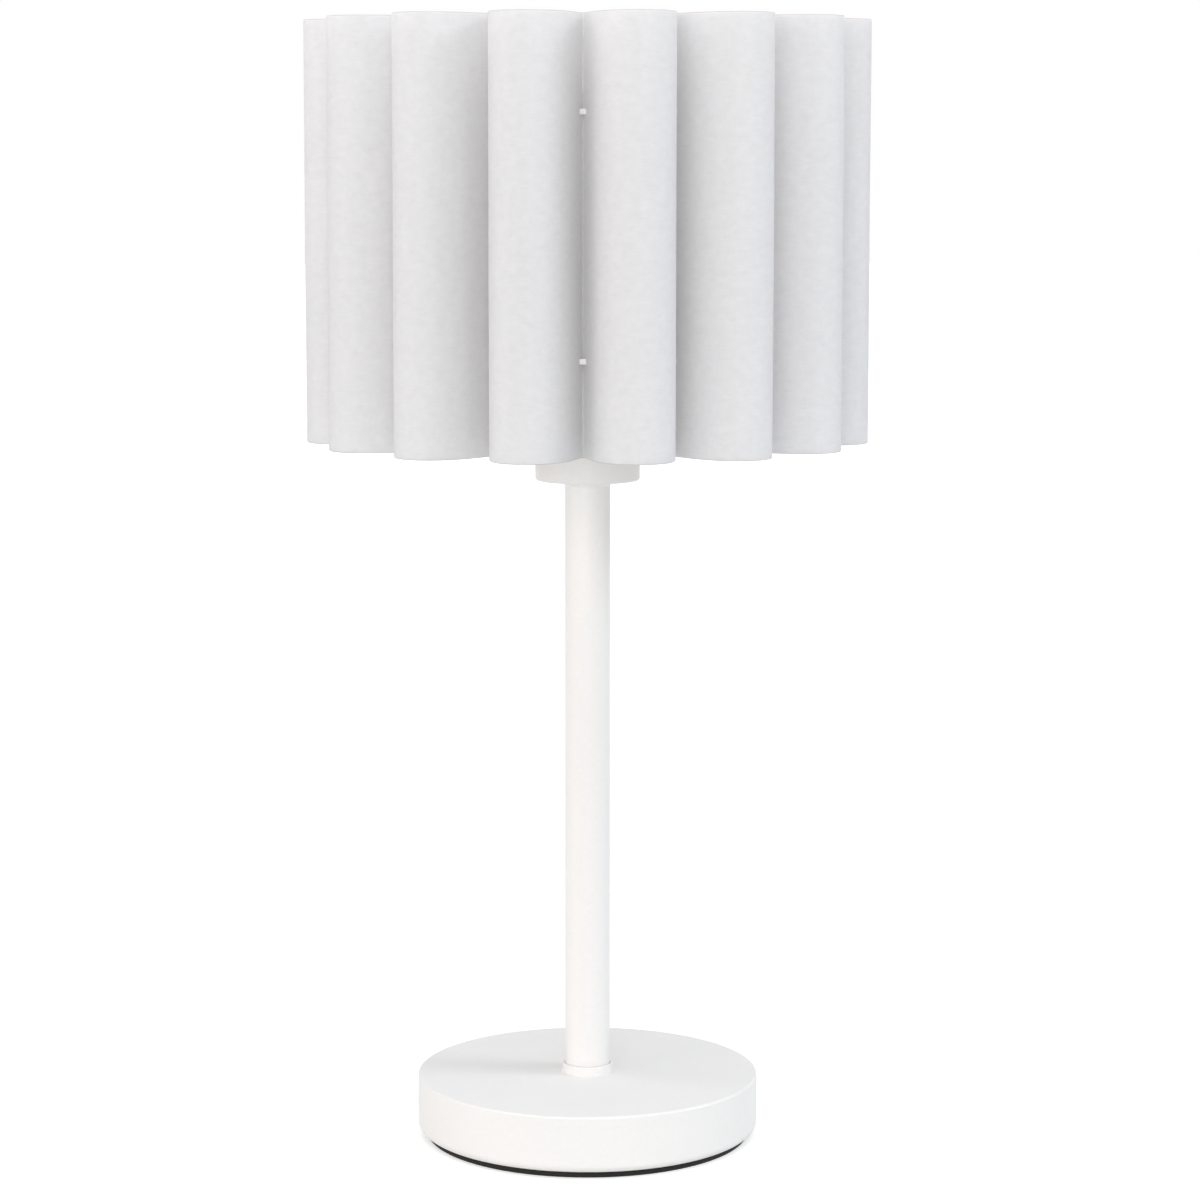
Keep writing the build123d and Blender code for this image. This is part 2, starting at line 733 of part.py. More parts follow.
# Terminals under the ceramic, each with a lead hole and a side screw
terminal_screw_height = holder_terminal_bottom + holder_terminal_height / 2
with BuildPart() as holder_terminals:
    with BuildSketch(Plane.XY.offset(holder_terminal_bottom)):
        with Locations((live_terminal_x, 0), (neutral_terminal_x, 0)):
            Rectangle(holder_terminal_length, holder_terminal_width)
            Circle(sleeve_bore_radius, mode=Mode.SUBTRACT)
    extrude(amount=holder_terminal_height)
    with BuildSketch(Plane.XZ):
        with Locations((live_terminal_x, terminal_screw_height), (neutral_terminal_x, terminal_screw_height)):
            Circle(terminal_screw_radius + seat_gap)
    extrude(amount=holder_terminal_width / 2, mode=Mode.SUBTRACT)
save(holder_terminals.part, "holder_terminals")

with BuildPart() as holder_terminal_screws:
    with BuildSketch(Plane.XZ.offset(lead_radius + seat_gap)):
        with Locations((live_terminal_x, terminal_screw_height), (neutral_terminal_x, terminal_screw_height)):
            Circle(terminal_screw_radius)
    extrude(amount=holder_screw_length)
    with BuildSketch(Plane.XZ.offset(holder_screw_length)):
        with Locations((live_terminal_x, terminal_screw_height), (neutral_terminal_x, terminal_screw_height)):
            Circle(holder_screw_head_radius)
            Rectangle(2 * holder_screw_head_radius, slot_width, mode=Mode.SUBTRACT)
    extrude(amount=holder_screw_head_height)
save(holder_terminal_screws.part, "holder_terminal_screws")

# Retaining ring with grip ribs
with BuildPart() as retaining_ring:
    ring(
        retaining_flange_radius,
        holder_thread_radius + running_gap,
        fitter_top,
        fitter_top + retaining_flange_thickness,
    )
    ring(
        retaining_grip_radius,
        holder_thread_radius + running_gap,
        fitter_top + retaining_flange_thickness,
        fitter_top + retaining_height,
    )
    with BuildSketch(Plane.XY.offset(fitter_top + retaining_flange_thickness)):
        with PolarLocations(retaining_grip_radius, grip_rib_count):
            Circle(grip_rib_radius)
    extrude(amount=retaining_height - retaining_flange_thickness)
save(retaining_ring.part, "retaining_ring")


def lobe_outline(inset):
    """Draw the shade's closed plan outline, moved inwards by the inset.

    In a lobe's own frame, w runs outwards along the lobe and u across it. The nose arc has its
    centre on the lobe's axis. The side arc touches the nose arc from outside and sets the lobe's
    half width. The valley arc has its centre on the line half way to the next lobe. The straight
    wall is the line that touches the side arc on one side and the valley arc on the other.
    """
    half_step = radians(lobe_step / 2)
    nose = (0.0, shade_radius - lobe_nose_radius)
    side_u = lobe_half_width - lobe_side_radius
    side_rise = sqrt((lobe_side_radius - lobe_nose_radius) ** 2 - side_u**2)
    side = (side_u, nose[1] - side_rise)
    valley_centre = valley_radius + valley_fold_radius
    valley = (valley_centre * sin(half_step), valley_centre * cos(half_step))
    across = (valley[0] - side[0], valley[1] - side[1])
    wall_angle = atan2(across[1], across[0]) + acos(
        (lobe_side_radius + valley_fold_radius) / hypot(*across)
    )
    nose_angle = atan2(nose[1] - side[1], nose[0] - side[0])
    side_reach = lobe_side_radius - inset
    fold_reach = valley_fold_radius + inset

    def on_arc(centre, reach, angle):
        return (centre[0] + reach * cos(angle), centre[1] + reach * sin(angle))

    shoulder = on_arc(side, side_reach, nose_angle)
    cheek = on_arc(side, side_reach, (nose_angle + wall_angle) / 2)
    hip = on_arc(side, side_reach, wall_angle)
    foot = on_arc(valley, -fold_reach, wall_angle)
    tip = (0.0, shade_radius - inset)

    def placed(point, angle, hand=1):
        u, w = hand * point[0], point[1]
        return (w * cos(angle) - u * sin(angle), w * sin(angle) + u * cos(angle))

    for number in range(lobe_count):
        here = radians(first_lobe_angle + number * lobe_step)
        after = here + 2 * half_step
        floor_radius = valley_radius - inset
        floor = (floor_radius * cos(here + half_step), floor_radius * sin(here + half_step))
        Line(placed(foot, here, -1), placed(hip, here, -1))
        ThreePointArc(placed(hip, here, -1), placed(cheek, here, -1), placed(shoulder, here, -1))
        ThreePointArc(placed(shoulder, here, -1), placed(tip, here), placed(shoulder, here))
        ThreePointArc(placed(shoulder, here), placed(cheek, here), placed(hip, here))
        Line(placed(hip, here), placed(foot, here))
        ThreePointArc(placed(foot, here), floor, placed(foot, after, -1))


# Shade cloth with two slits for each tie
slit_depth = tie_front_radius - valley_inner_radius + 2 * slit_gap
slit_centre = valley_inner_radius - slit_gap + slit_depth / 2
slit_offset = (tie_width - tie_thickness) / 2
with BuildPart() as shade_fabric:
    with BuildSketch(Plane.XY.offset(shade_bottom)):
        with BuildLine():
            lobe_outline(0)
        make_face()
        with BuildLine():
            lobe_outline(cloth_thickness)
        make_face(mode=Mode.SUBTRACT)
    extrude(amount=shade_height)
    for tie_level in (tie_low, tie_high):
        with BuildSketch(Plane.XY.offset(tie_level - tie_height / 2 - slit_gap)):
            with PolarLocations(slit_centre, lobe_count, first_valley_angle):
                with Locations((0, slit_offset), (0, -slit_offset)):
                    Rectangle(slit_depth, tie_thickness + 2 * slit_gap)
        extrude(amount=tie_height + 2 * slit_gap, mode=Mode.SUBTRACT)
save(shade_fabric.part, "shade_fabric")

# Uprights and rings of the shade frame
with BuildPart() as shade_uprights:
    with BuildSketch(Plane.XY.offset(ring_low - upright_overhang)):
        with PolarLocations(upright_circle, lobe_count, first_valley_angle):
            Circle(upright_radius)
    extrude(amount=ring_high - ring_low + 2 * upright_overhang)
save(shade_uprights.part, "shade_uprights")

for ring_name, ring_level in (("ring_lower", ring_low), ("ring_upper", ring_high)):
    with BuildPart() as shade_ring:
        with Locations((0, 0, ring_level)):
            Torus(ring_circle, ring_wire_radius)
    save(shade_ring.part, ring_name)

# Spider arms and fitter
arm_outer_radius = ring_circle - ring_wire_radius - seat_gap
arm_length = arm_outer_radius - arm_inner_radius
with BuildPart() as spider_arms:
    with Locations(Plane.XY.offset(ring_low)):
        with PolarLocations(arm_inner_radius + arm_length / 2, arm_count, first_lobe_angle):
            Cylinder(arm_radius, arm_length, rotation=(0, 90, 0))
save(spider_arms.part, "spider_arms")

with BuildPart() as fitter_ring:
    ring(fitter_radius, fitter_hole_radius, cup_top, fitter_top)
save(fitter_ring.part, "fitter_ring")

# Ties: a flat loop through the cloth and round the upright, with a square head behind it
loop_depth = tie_front_radius - tie_back_radius
loop_centre = tie_back_radius + loop_depth / 2
head_centre = tie_back_radius - tie_head_depth / 2
for tie_name, tie_level in (("ties_lower", tie_low), ("ties_upper", tie_high)):
    with BuildPart() as ties:
        with BuildSketch(Plane.XY.offset(tie_level - tie_height / 2)):
            with PolarLocations(loop_centre, lobe_count, first_valley_angle):
                RectangleRounded(loop_depth, tie_width, tie_corner)
                Rectangle(loop_depth - 2 * tie_thickness, tie_width - 2 * tie_thickness, mode=Mode.SUBTRACT)
        extrude(amount=tie_height)
        with BuildSketch(Plane.XY.offset(tie_level - tie_head_height / 2)):
            with PolarLocations(head_centre, lobe_count, first_valley_angle):
                Rectangle(tie_head_depth, tie_head_width)
        extrude(amount=tie_head_height)
    save(ties.part, tie_name)

# Bulb: tip contact, insulator, cap, housing, board and globe
with BuildPart() as bulb_tip_contact:
    ring(bulb_tip_radius, 0, bulb_bottom, bulb_bottom + bulb_tip_height)
    fillet(faces().sort_by(Axis.Z)[0].edges(), radius=bulb_tip_rounding)
    ring(bulb_stem_radius, 0, bulb_bottom + bulb_tip_height, bulb_bottom + bulb_stem_height)
save(bulb_tip_contact.part, "bulb_tip_contact")

insulator_bottom = bulb_bottom + bulb_tip_height + seat_gap
insulator_radius = bulb_foot_hole_radius - bulb_foot_gap
foot_bottom = bulb_bottom + bulb_cap_start - bulb_cap_foot_height
with BuildPart() as bulb_tip_insulator:
    turned(
        [
            (bulb_stem_radius + running_gap, insulator_bottom),
            (bulb_tip_radius, insulator_bottom),
            (insulator_radius, foot_bottom),
            (insulator_radius, insulator_bottom + bulb_insulator_height),
            (bulb_stem_radius + running_gap, insulator_bottom + bulb_insulator_height),
        ]
    )
save(bulb_tip_insulator.part, "bulb_tip_insulator")

cap_start = bulb_bottom + bulb_cap_start
cap_top = cap_start + bulb_cap_height
with BuildPart() as bulb_cap:
    turned(
        [
            (bulb_foot_hole_radius, foot_bottom),
            (bulb_cap_radius, cap_start),
            (bulb_cap_radius, cap_top),
            (bulb_cap_radius - bulb_cap_wall, cap_top),
            (bulb_cap_radius - bulb_cap_wall, cap_start + bulb_cap_wall / 2),
            (bulb_foot_hole_radius, foot_bottom + bulb_cap_wall),
        ]
    )
save(bulb_cap.part, "bulb_cap")

spigot_radius = bulb_cap_radius - bulb_cap_wall - seat_gap
taper = bulb_split_radius / bulb_split_below_centre
shoulder_height = bulb_split - (bulb_split_radius - bulb_neck_radius) * taper
board_bottom = bulb_split - led_board_thickness - seat_gap
with BuildPart() as bulb_housing:
    turned(
        [
            (bulb_bore_radius, cap_start + 2 * bulb_cap_wall),
            (spigot_radius, cap_start + 2 * bulb_cap_wall),
            (spigot_radius, cap_top),
            (bulb_neck_radius, cap_top),
            (bulb_neck_radius, shoulder_height),
            (bulb_split_radius, bulb_split),
            (led_board_radius + bulb_inner_gap, bulb_split),
            (led_board_radius + bulb_inner_gap, board_bottom),
            (bulb_bore_radius, board_bottom),
        ]
    )
save(bulb_housing.part, "bulb_housing")

with BuildPart() as bulb_led_board:
    ring(led_board_radius, 0, board_bottom, bulb_split - seat_gap)
save(bulb_led_board.part, "bulb_led_board")

with BuildPart() as bulb_globe:
    with Locations((0, 0, bulb_centre)):
        Sphere(bulb_radius)
        Sphere(bulb_radius - bulb_globe_wall, mode=Mode.SUBTRACT)
    split(bisect_by=Plane.XY.offset(bulb_split), keep=Keep.TOP)
save(bulb_globe.part, "bulb_globe")

# Sizes of the shade's cloth when it is laid flat
shade_wall_area = shade_fabric.part.volume / cloth_thickness
print("cloth strip laid flat:", round(shade_wall_area / shade_height, 1), "x", shade_height, "mm")
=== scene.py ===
"""Table lamp with a scalloped cloth shade: its finishes, its soft and threaded pieces and a studio.

The packed frame holds the rigid pieces in metres. The origin is on the pole's axis at the table
top, +Z is up and the front is towards -Y. The pieces made here take their places from the frame.
"""

import json

import bpy
import numpy as np
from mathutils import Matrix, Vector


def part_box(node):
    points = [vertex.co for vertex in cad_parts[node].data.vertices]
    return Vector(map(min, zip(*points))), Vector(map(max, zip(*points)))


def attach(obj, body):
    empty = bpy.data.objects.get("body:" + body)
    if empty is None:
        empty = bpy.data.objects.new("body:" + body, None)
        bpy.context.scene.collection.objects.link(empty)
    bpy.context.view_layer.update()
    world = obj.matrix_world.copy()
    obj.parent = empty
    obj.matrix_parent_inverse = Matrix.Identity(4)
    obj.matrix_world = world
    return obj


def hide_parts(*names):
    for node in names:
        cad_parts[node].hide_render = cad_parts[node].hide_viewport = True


bl_info = {
    "name": "Scalloped table lamp",
    "version": (1, 0, 0),
    "blender": (4, 5, 0),
    "location": "3D View > Sidebar > Lamp",
    "description": "Cloth shade, threads, ties, finishes and studio for a table lamp",
    "category": "Object",
}

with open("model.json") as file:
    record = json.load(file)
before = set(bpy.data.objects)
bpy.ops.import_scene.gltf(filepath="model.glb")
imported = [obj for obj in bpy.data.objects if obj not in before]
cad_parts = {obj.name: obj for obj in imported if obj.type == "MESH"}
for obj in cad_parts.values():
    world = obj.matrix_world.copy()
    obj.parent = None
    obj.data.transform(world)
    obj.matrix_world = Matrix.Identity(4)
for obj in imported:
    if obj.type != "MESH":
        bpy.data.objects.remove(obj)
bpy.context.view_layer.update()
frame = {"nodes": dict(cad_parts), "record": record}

MM = 0.001
FULL_TURN = 2 * np.pi
SHARP_ANGLE = np.radians(50)


# Numbers and colours that a user would change


def length(name, description, default):
    """A length property in metres, with its default given in millimetres."""
    return bpy.props.FloatProperty(
        name=name, description=description, default=default * MM, min=0.0, precision=5, unit="LENGTH"
    )


def linear(code):
    """The linear red, green, blue and alpha of an sRGB hex colour."""
    channels = np.array([int(code[start : start + 2], 16) for start in (1, 3, 5)]) / 255
    bright = ((channels + 0.055) / 1.055) ** 2.4
    return (*np.where(channels <= 0.04045, channels / 12.92, bright), 1.0)


def colour(name, description, code):
    """A colour property whose default is an sRGB hex colour."""
    return bpy.props.FloatVectorProperty(
        name=name, description=description, default=linear(code), size=4, min=0.0, max=1.0, subtype="COLOR"
    )


class ShadeSettings(bpy.types.PropertyGroup):
    """Sizes and colours of the cloth shade."""

    lobes: bpy.props.IntProperty(name="Lobes", description="Number of rounded lobes", default=15, min=3)
    turn: bpy.props.FloatProperty(
        name="Turn", description="Turn of the first lobe from +Y", default=np.radians(-1.2), subtype="ANGLE"
    )
    radius: length("Radius", "From the pole's axis to the tip of a lobe", 125.0)
    half_width: length("Half width", "Half of a lobe's greatest width", 17.5)
    nose: length("Nose radius", "Radius of a lobe's nose", 15.1)
    side: length("Side radius", "Radius of a lobe's sides", 30.3)
    valley: length("Valley radius", "From the pole's axis to the cloth in a valley", 89.5)
    fold: length("Fold radius", "Radius of the fold in a valley, sharper than in the frame", 0.35)
    thickness: length("Cloth thickness", "Cloth and its backing film", 0.7)
    hem: length("Hem thickness", "Cloth turned in along both rims", 1.0)
    hem_height: length("Hem height", "Height of the turned-in band", 9.0)
    wander: length("Wander", "How far the cloth strays from its true line", 0.16)
    through: bpy.props.FloatProperty(
        name="Light through",
        description="Share of light that each face lets through",
        default=0.46,
        min=0.0,
        max=1.0,
    )
    cloth: colour("Cloth", "Colour of the cloth", "#F8F8FC")
    shadow: colour("Nap shadow", "Colour between the fibres of the cloth", "#E7E7EB")
    rim: colour("Rim", "Colour of the turned edge", "#F2F0EE")
    cut: colour("Cut edge", "Colour of the thin line at the very edge", "#B9AAA0")


class StandSettings(bpy.types.PropertyGroup):
    """Colours and thread sizes of the stand and the bulb."""

    coat: colour("Coat", "Colour of the powder coat", "#F3F1F0")
    coat_low: colour("Coat hollows", "Colour in the hollows of the powder coat", "#EDEBEA")
    foam: colour("Foam", "Colour of the pad under the base", "#2A2927")
    rod_pitch: length("Rod pitch", "Rise of the hollow rods' thread in a turn", 1.0)
    rod_depth: length("Rod thread depth", "Depth of the hollow rods' thread", 0.55)
    skirt_pitch: length("Skirt pitch", "Rise of the lampholder's outer thread in a turn", 2.5)
    skirt_depth: length("Skirt thread depth", "Depth of the lampholder's outer thread", 0.8)
    cap_pitch: length("Cap pitch", "Rise of the bulb's rolled thread in a turn", 3.629)
    cap_depth: length("Cap thread depth", "Depth of the bulb's rolled thread", 0.95)


class StudioSettings(bpy.types.PropertyGroup):
    """Camera and light of the studio."""

    distance: length("Camera distance", "From the camera to the pole's axis", 1516.6)
    eye: length("Eye level", "Height of the camera over the table", 445.4)
    tilt: bpy.props.FloatProperty(
        name="Tilt", description="Downward tilt of the camera", default=np.radians(6.53), subtype="ANGLE"
    )
    focal: bpy.props.FloatProperty(name="Focal length", description="In mm on a 36 mm sensor", default=102.07)
    shift_x: bpy.props.FloatProperty(name="Shift across", description="Lens shift", default=0.0104)
    shift_y: bpy.props.FloatProperty(name="Shift up", description="Lens shift", default=-0.05)
    sky: bpy.props.FloatProperty(name="Sky", description="Level of the even light", default=0.35, min=0.0)
    front: bpy.props.FloatProperty(name="Front light", description="Wide low light in front", default=1.47)
    left: bpy.props.FloatProperty(name="Left light", description="Wide low light on the left", default=0.8)
    right: bpy.props.FloatProperty(name="Right light", description="Narrow light on the right", default=0.95)
    back: bpy.props.FloatProperty(name="Back light", description="Narrow light at the left", default=0.26)
    top: bpy.props.FloatProperty(name="Top light", description="Wide light overhead", default=1.27)


# Node and mesh helpers


def add_node(tree, kind, inputs=None, **settings):
    """Add a node, set its properties, and give each input a value or a link."""
    made = tree.nodes.new(kind)
    for name, value in settings.items():
        setattr(made, name, value)
    for key, value in (inputs or {}).items():
        if isinstance(value, bpy.types.NodeSocket):
            tree.links.new(value, made.inputs[key])
        else:
            made.inputs[key].default_value = value
    return made


def mixed_colour(tree, share, first, second):
    """A colour that goes from the first to the second as the share goes from nought to one."""
    return add_node(tree, "ShaderNodeMix", {0: share, 6: first, 7: second}, data_type="RGBA").outputs[2]


def stepped(tree, value, start, end, height=1.0):
    """A value that climbs from nought to the given height between start and end."""
    inputs = {"Value": value, "From Min": start, "From Max": end, "To Max": height}
    return add_node(tree, "ShaderNodeMapRange", inputs).outputs[0]


def calculated(tree, operation, first, second):
    """One sum, difference, product, least or greatest of two values."""
    return add_node(tree, "ShaderNodeMath", {0: first, 1: second}, operation=operation).outputs[0]


def empty_material(name):
    """A material with an empty node tree."""
    material = bpy.data.materials.new(name)
    material.use_nodes = True
    material.node_tree.nodes.clear()
    return material


def surface(name, points, poles=False, strip=None, slots=None):
    """A closed mesh from a grid of points: the first index goes round the shape, the second along it.

    The grid closes round the shape. Along it, it closes too, or with poles its first and last
    columns shrink to one point each. With the first index turning anticlockwise and the second
    rising on the outside, the faces look outwards. strip is the flat pattern: the distance along
    the first index, one entry longer than the grid, and the height of each column. slots gives
    each column's material number.
    """
    around, along = points.shape[:2]
    columns = along - 3 if poles else along
    i, j = np.meshgrid(np.arange(around), np.arange(columns), indexing="ij")
    corner_i = np.stack([i, i + 1, i + 1, i], axis=-1).reshape(-1, 4)
    corner_j = np.stack([j, j, j + 1, j + 1], axis=-1).reshape(-1, 4)
    if poles:
        inner = points[:, 1:-1]
        between = along - 2
        vertices = np.concatenate([inner.reshape(-1, 3), points[0, :1], points[0, -1:]])
        first = np.arange(around) * between
        after = np.roll(first, -1)
        low, high = around * between, around * between + 1
        low_fan = np.stack([np.full(around, low), after, first], axis=-1)
        high_fan = np.stack([np.full(around, high), first + between - 1, after + between - 1], axis=-1)
        quads = (corner_i % around) * between + corner_j
        faces = quads.tolist() + low_fan.tolist() + high_fan.tolist()
    else:
        vertices = points.reshape(-1, 3)
        faces = ((corner_i % around) * along + corner_j % along).tolist()
    mesh = bpy.data.meshes.new(name)
    mesh.from_pydata(vertices.tolist(), [], faces)
    if strip is not None:
        distance, height = strip
        flat = np.stack([distance[corner_i], height[corner_j % along]], axis=-1)
        mesh.uv_layers.new(name="FlatCloth").data.foreach_set("uv", flat.ravel().astype(np.float32))
    if slots is not None:
        mesh.polygons.foreach_set("material_index", np.tile(slots, around).astype(np.int32))
    mesh.shade_smooth()
    return mesh


def place(name, mesh, materials, body, slot, *nodes):
    """Put a mesh in the scene as a piece that rides on a body and replaces nodes, and give it back."""
    piece = bpy.data.objects.new(name, mesh)
    bpy.context.scene.collection.objects.link(piece)
    for material in materials:
        mesh.materials.append(material)
    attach(piece, body)
    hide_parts(*nodes)
    return piece


def joined(name, meshes):
    """One mesh from several."""
    starts = np.cumsum([0] + [len(mesh.vertices) for mesh in meshes])
    vertices, faces = [], []
    for mesh, start in zip(meshes, starts):
        co = np.zeros(len(mesh.vertices) * 3)
        mesh.vertices.foreach_get("co", co)
        vertices.append(co.reshape(-1, 3))
        faces += [[start + v for v in face.vertices] for face in mesh.polygons]
    whole = bpy.data.meshes.new(name)
    whole.from_pydata(np.concatenate(vertices).tolist(), [], faces)
    whole.shade_smooth()
    return whole


def turned(name, profile, segments=96, poles=False, thread=None):
    """A profile of (radius, height) points turned about the pole's axis, with edges over 50 degrees sharp.

    thread is (pitch, depth, share of each profile point). A right-hand thread lowers the radius by
    depth * share * (1 - cos(phase)) / 2, where the phase grows one turn in a pitch of height and
    falls one turn in a turn about the axis, so the crest climbs one pitch in each turn.
    """
    angle = np.linspace(0, FULL_TURN, segments, endpoint=False)[:, None]
    radius = np.broadcast_to(profile[:, 0], (segments, len(profile)))
    height = np.broadcast_to(profile[:, 1], (segments, len(profile)))
    if thread is not None:
        pitch, depth, share = thread
        phase = FULL_TURN * height / pitch - angle
        radius = radius - depth * share * (1 - np.cos(phase)) / 2
    points = np.stack([radius * np.cos(angle), radius * np.sin(angle), height], axis=-1)
    mesh = surface(name, points, poles)
    mesh.set_sharp_from_angle(angle=SHARP_ANGLE)
    return mesh


def rounded_rectangle(half_sizes, corner, steps):
    """Points of a rounded rectangle, anticlockwise, for each pair of half sizes and each corner radius.

    Each corner is a quarter circle, and its centre lies that radius inside both sides. A point is
    its corner's centre plus the radius times its direction.
    """
    quarter = np.linspace(0, np.pi / 2, steps)
    angle = (quarter + np.pi / 2 * np.arange(4)[:, None]).ravel()
    directions = np.stack([np.cos(angle), np.sin(angle)], axis=-1)
    signs = np.repeat([(1, 1), (-1, 1), (-1, -1), (1, -1)], steps, axis=0)
    corner = np.asarray(corner)[..., None, None]
    return signs * (half_sizes[..., None, :] - corner) + corner * directions


# Finishes


def grained(name, light, dark, grain, relief, stretch=(1.0, 1.0, 1.0), detail=3.0, **values):
    """A material whose colour and relief follow one noise. grain and relief are in millimetres.

    values are the shader's own inputs, written small and with underscores.
    """
    material = empty_material(name)
    tree = material.node_tree
    where = add_node(tree, "ShaderNodeTexCoord").outputs["Object"]
    scaled = add_node(tree, "ShaderNodeMapping", {"Vector": where, "Scale": stretch})
    noise = add_node(
        tree,
        "ShaderNodeTexNoise",
        {"Vector": scaled.outputs["Vector"], "Scale": 1 / (grain * MM), "Detail": detail},
    )
    tone = mixed_colour(tree, noise.outputs[0], dark, light)
    bump = add_node(
        tree, "ShaderNodeBump", {"Height": noise.outputs[0], "Distance": relief * MM, "Strength": 1.0}
    )
    named = {key.replace("_", " ").title().replace("Ior", "IOR"): value for key, value in values.items()}
    shader = add_node(
        tree,
        "ShaderNodeBsdfPrincipled",
        {"Base Color": tone, "Normal": bump.outputs["Normal"], **named},
    )
    add_node(tree, "ShaderNodeOutputMaterial", {"Surface": shader.outputs["BSDF"]})
    return material


def let_through(material, share, tint):
    """Let a share of the light through the face of a thin sheet, and give back the material."""
    tree = material.node_tree
    output = next(node for node in tree.nodes if node.type == "OUTPUT_MATERIAL")
    face = output.inputs["Surface"].links[0].from_socket
    through = add_node(tree, "ShaderNodeBsdfTranslucent", {"Color": tint})
    mixed = add_node(tree, "ShaderNodeMixShader", {0: share, 1: face, 2: through.outputs[0]})
    tree.links.new(mixed.outputs[0], output.inputs["Surface"])
    return material


def cloth_material(shade):
    """Brushed cloth on a stiff film: a soft nap with short level fibres and no gloss.

    The colour wavers by patches of about 4 mm and by fibres 7 mm long and 0.5 mm apart. Real
    fibres are finer, and these are drawn as coarse as they need to be to show. A faintly paler
    band lies along both rims and a thin warm line at the very edge. Some light comes through the
    cloth from inside the shade, which lifts its valleys.
    """
    patch, fibre_length, fibre_pitch = 4.0 * MM, 7.0 * MM, 0.5 * MM
    patch_share, darkest, palest = 0.62, 0.32, 0.68
    band, line, nap = 2.6 * MM, 0.35 * MM, 0.12 * MM
    band_inner, line_inner, band_strength = 0.7 * band, 0.5 * line, 0.15
    low, high = (corner.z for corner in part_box("shade_fabric"))
    material = empty_material("brushed cloth, woven and raised")
    tree = material.node_tree
    flat = add_node(tree, "ShaderNodeUVMap", uv_map="FlatCloth").outputs["UV"]
    across = (1 / fibre_length, 1 / fibre_pitch, 1.0)
    along = add_node(tree, "ShaderNodeMapping", {"Vector": flat, "Scale": across}).outputs["Vector"]
    fibres = add_node(tree, "ShaderNodeTexNoise", {"Vector": along, "Scale": 1.0, "Detail": 4.0}).outputs[0]
    patches = add_node(
        tree, "ShaderNodeTexNoise", {"Vector": flat, "Scale": 1 / patch, "Detail": 5.0, "Roughness": 0.7}
    ).outputs[0]
    nap_height = add_node(
        tree, "ShaderNodeMix", {0: patch_share, 2: fibres, 3: patches}, data_type="FLOAT"
    ).outputs[0]
    tone = stepped(tree, nap_height, darkest, palest)
    ground = mixed_colour(tree, tone, shade.shadow, shade.cloth)
    height = add_node(tree, "ShaderNodeSeparateXYZ", {"Vector": flat}).outputs["Y"]
    edge = calculated(tree, "MINIMUM", height, calculated(tree, "SUBTRACT", high - low, height))
    banded = mixed_colour(tree, stepped(tree, edge, band, band_inner, band_strength), ground, shade.rim)
    edged = mixed_colour(tree, stepped(tree, edge, line, line_inner), banded, shade.cut)
    bump = add_node(tree, "ShaderNodeBump", {"Height": nap_height, "Distance": nap, "Strength": 0.7})
    shader = add_node(
        tree,
        "ShaderNodeBsdfPrincipled",
        {
            "Base Color": edged,
            "Normal": bump.outputs["Normal"],
            "Roughness": 0.95,
            "Specular IOR Level": 0.2,
            "Sheen Weight": 0.15,
            "Sheen Roughness": 0.6,
        },
    )
    add_node(tree, "ShaderNodeOutputMaterial", {"Surface": shader.outputs["BSDF"]})
    return let_through(material, shade.through, shade.cloth)


def striped_lead_material():
    """Green and yellow PVC, extruded as two colours that lie side by side along the lead."""
    wave_size, green_until, yellow_from = 8.8 * MM, 0.45, 0.55
    material = grained(
        "green and yellow PVC, extruded", linear("#3F8A3A"), linear("#2F7A2F"), 1.5, 0.01,
        roughness=0.35, ior=1.53,
    )
    tree = material.node_tree
    where = add_node(tree, "ShaderNodeTexCoord").outputs["Object"]
    bands = add_node(
        tree, "ShaderNodeTexWave", {"Vector": where, "Scale": 1 / wave_size}, bands_direction="DIAGONAL"
    ).outputs["Fac"]
    shader = next(node for node in tree.nodes if node.type == "BSDF_PRINCIPLED")
    green = shader.inputs["Base Color"].links[0].from_socket
    both = mixed_colour(tree, stepped(tree, bands, green_until, yellow_from), green, linear("#E2CF2A"))
    tree.links.new(both, shader.inputs["Base Color"])
    return material


def lining_material(shade):
    """White styrene film on the back of the cloth, calendered: smooth, faintly warm and satin."""
    film = linear("#F4F2EC")
    material = grained(
        "styrene film, calendered", film, linear("#ECEAE3"), 5.0, 0.01, roughness=0.55, ior=1.59
    )
    return let_through(material, shade.through, film)


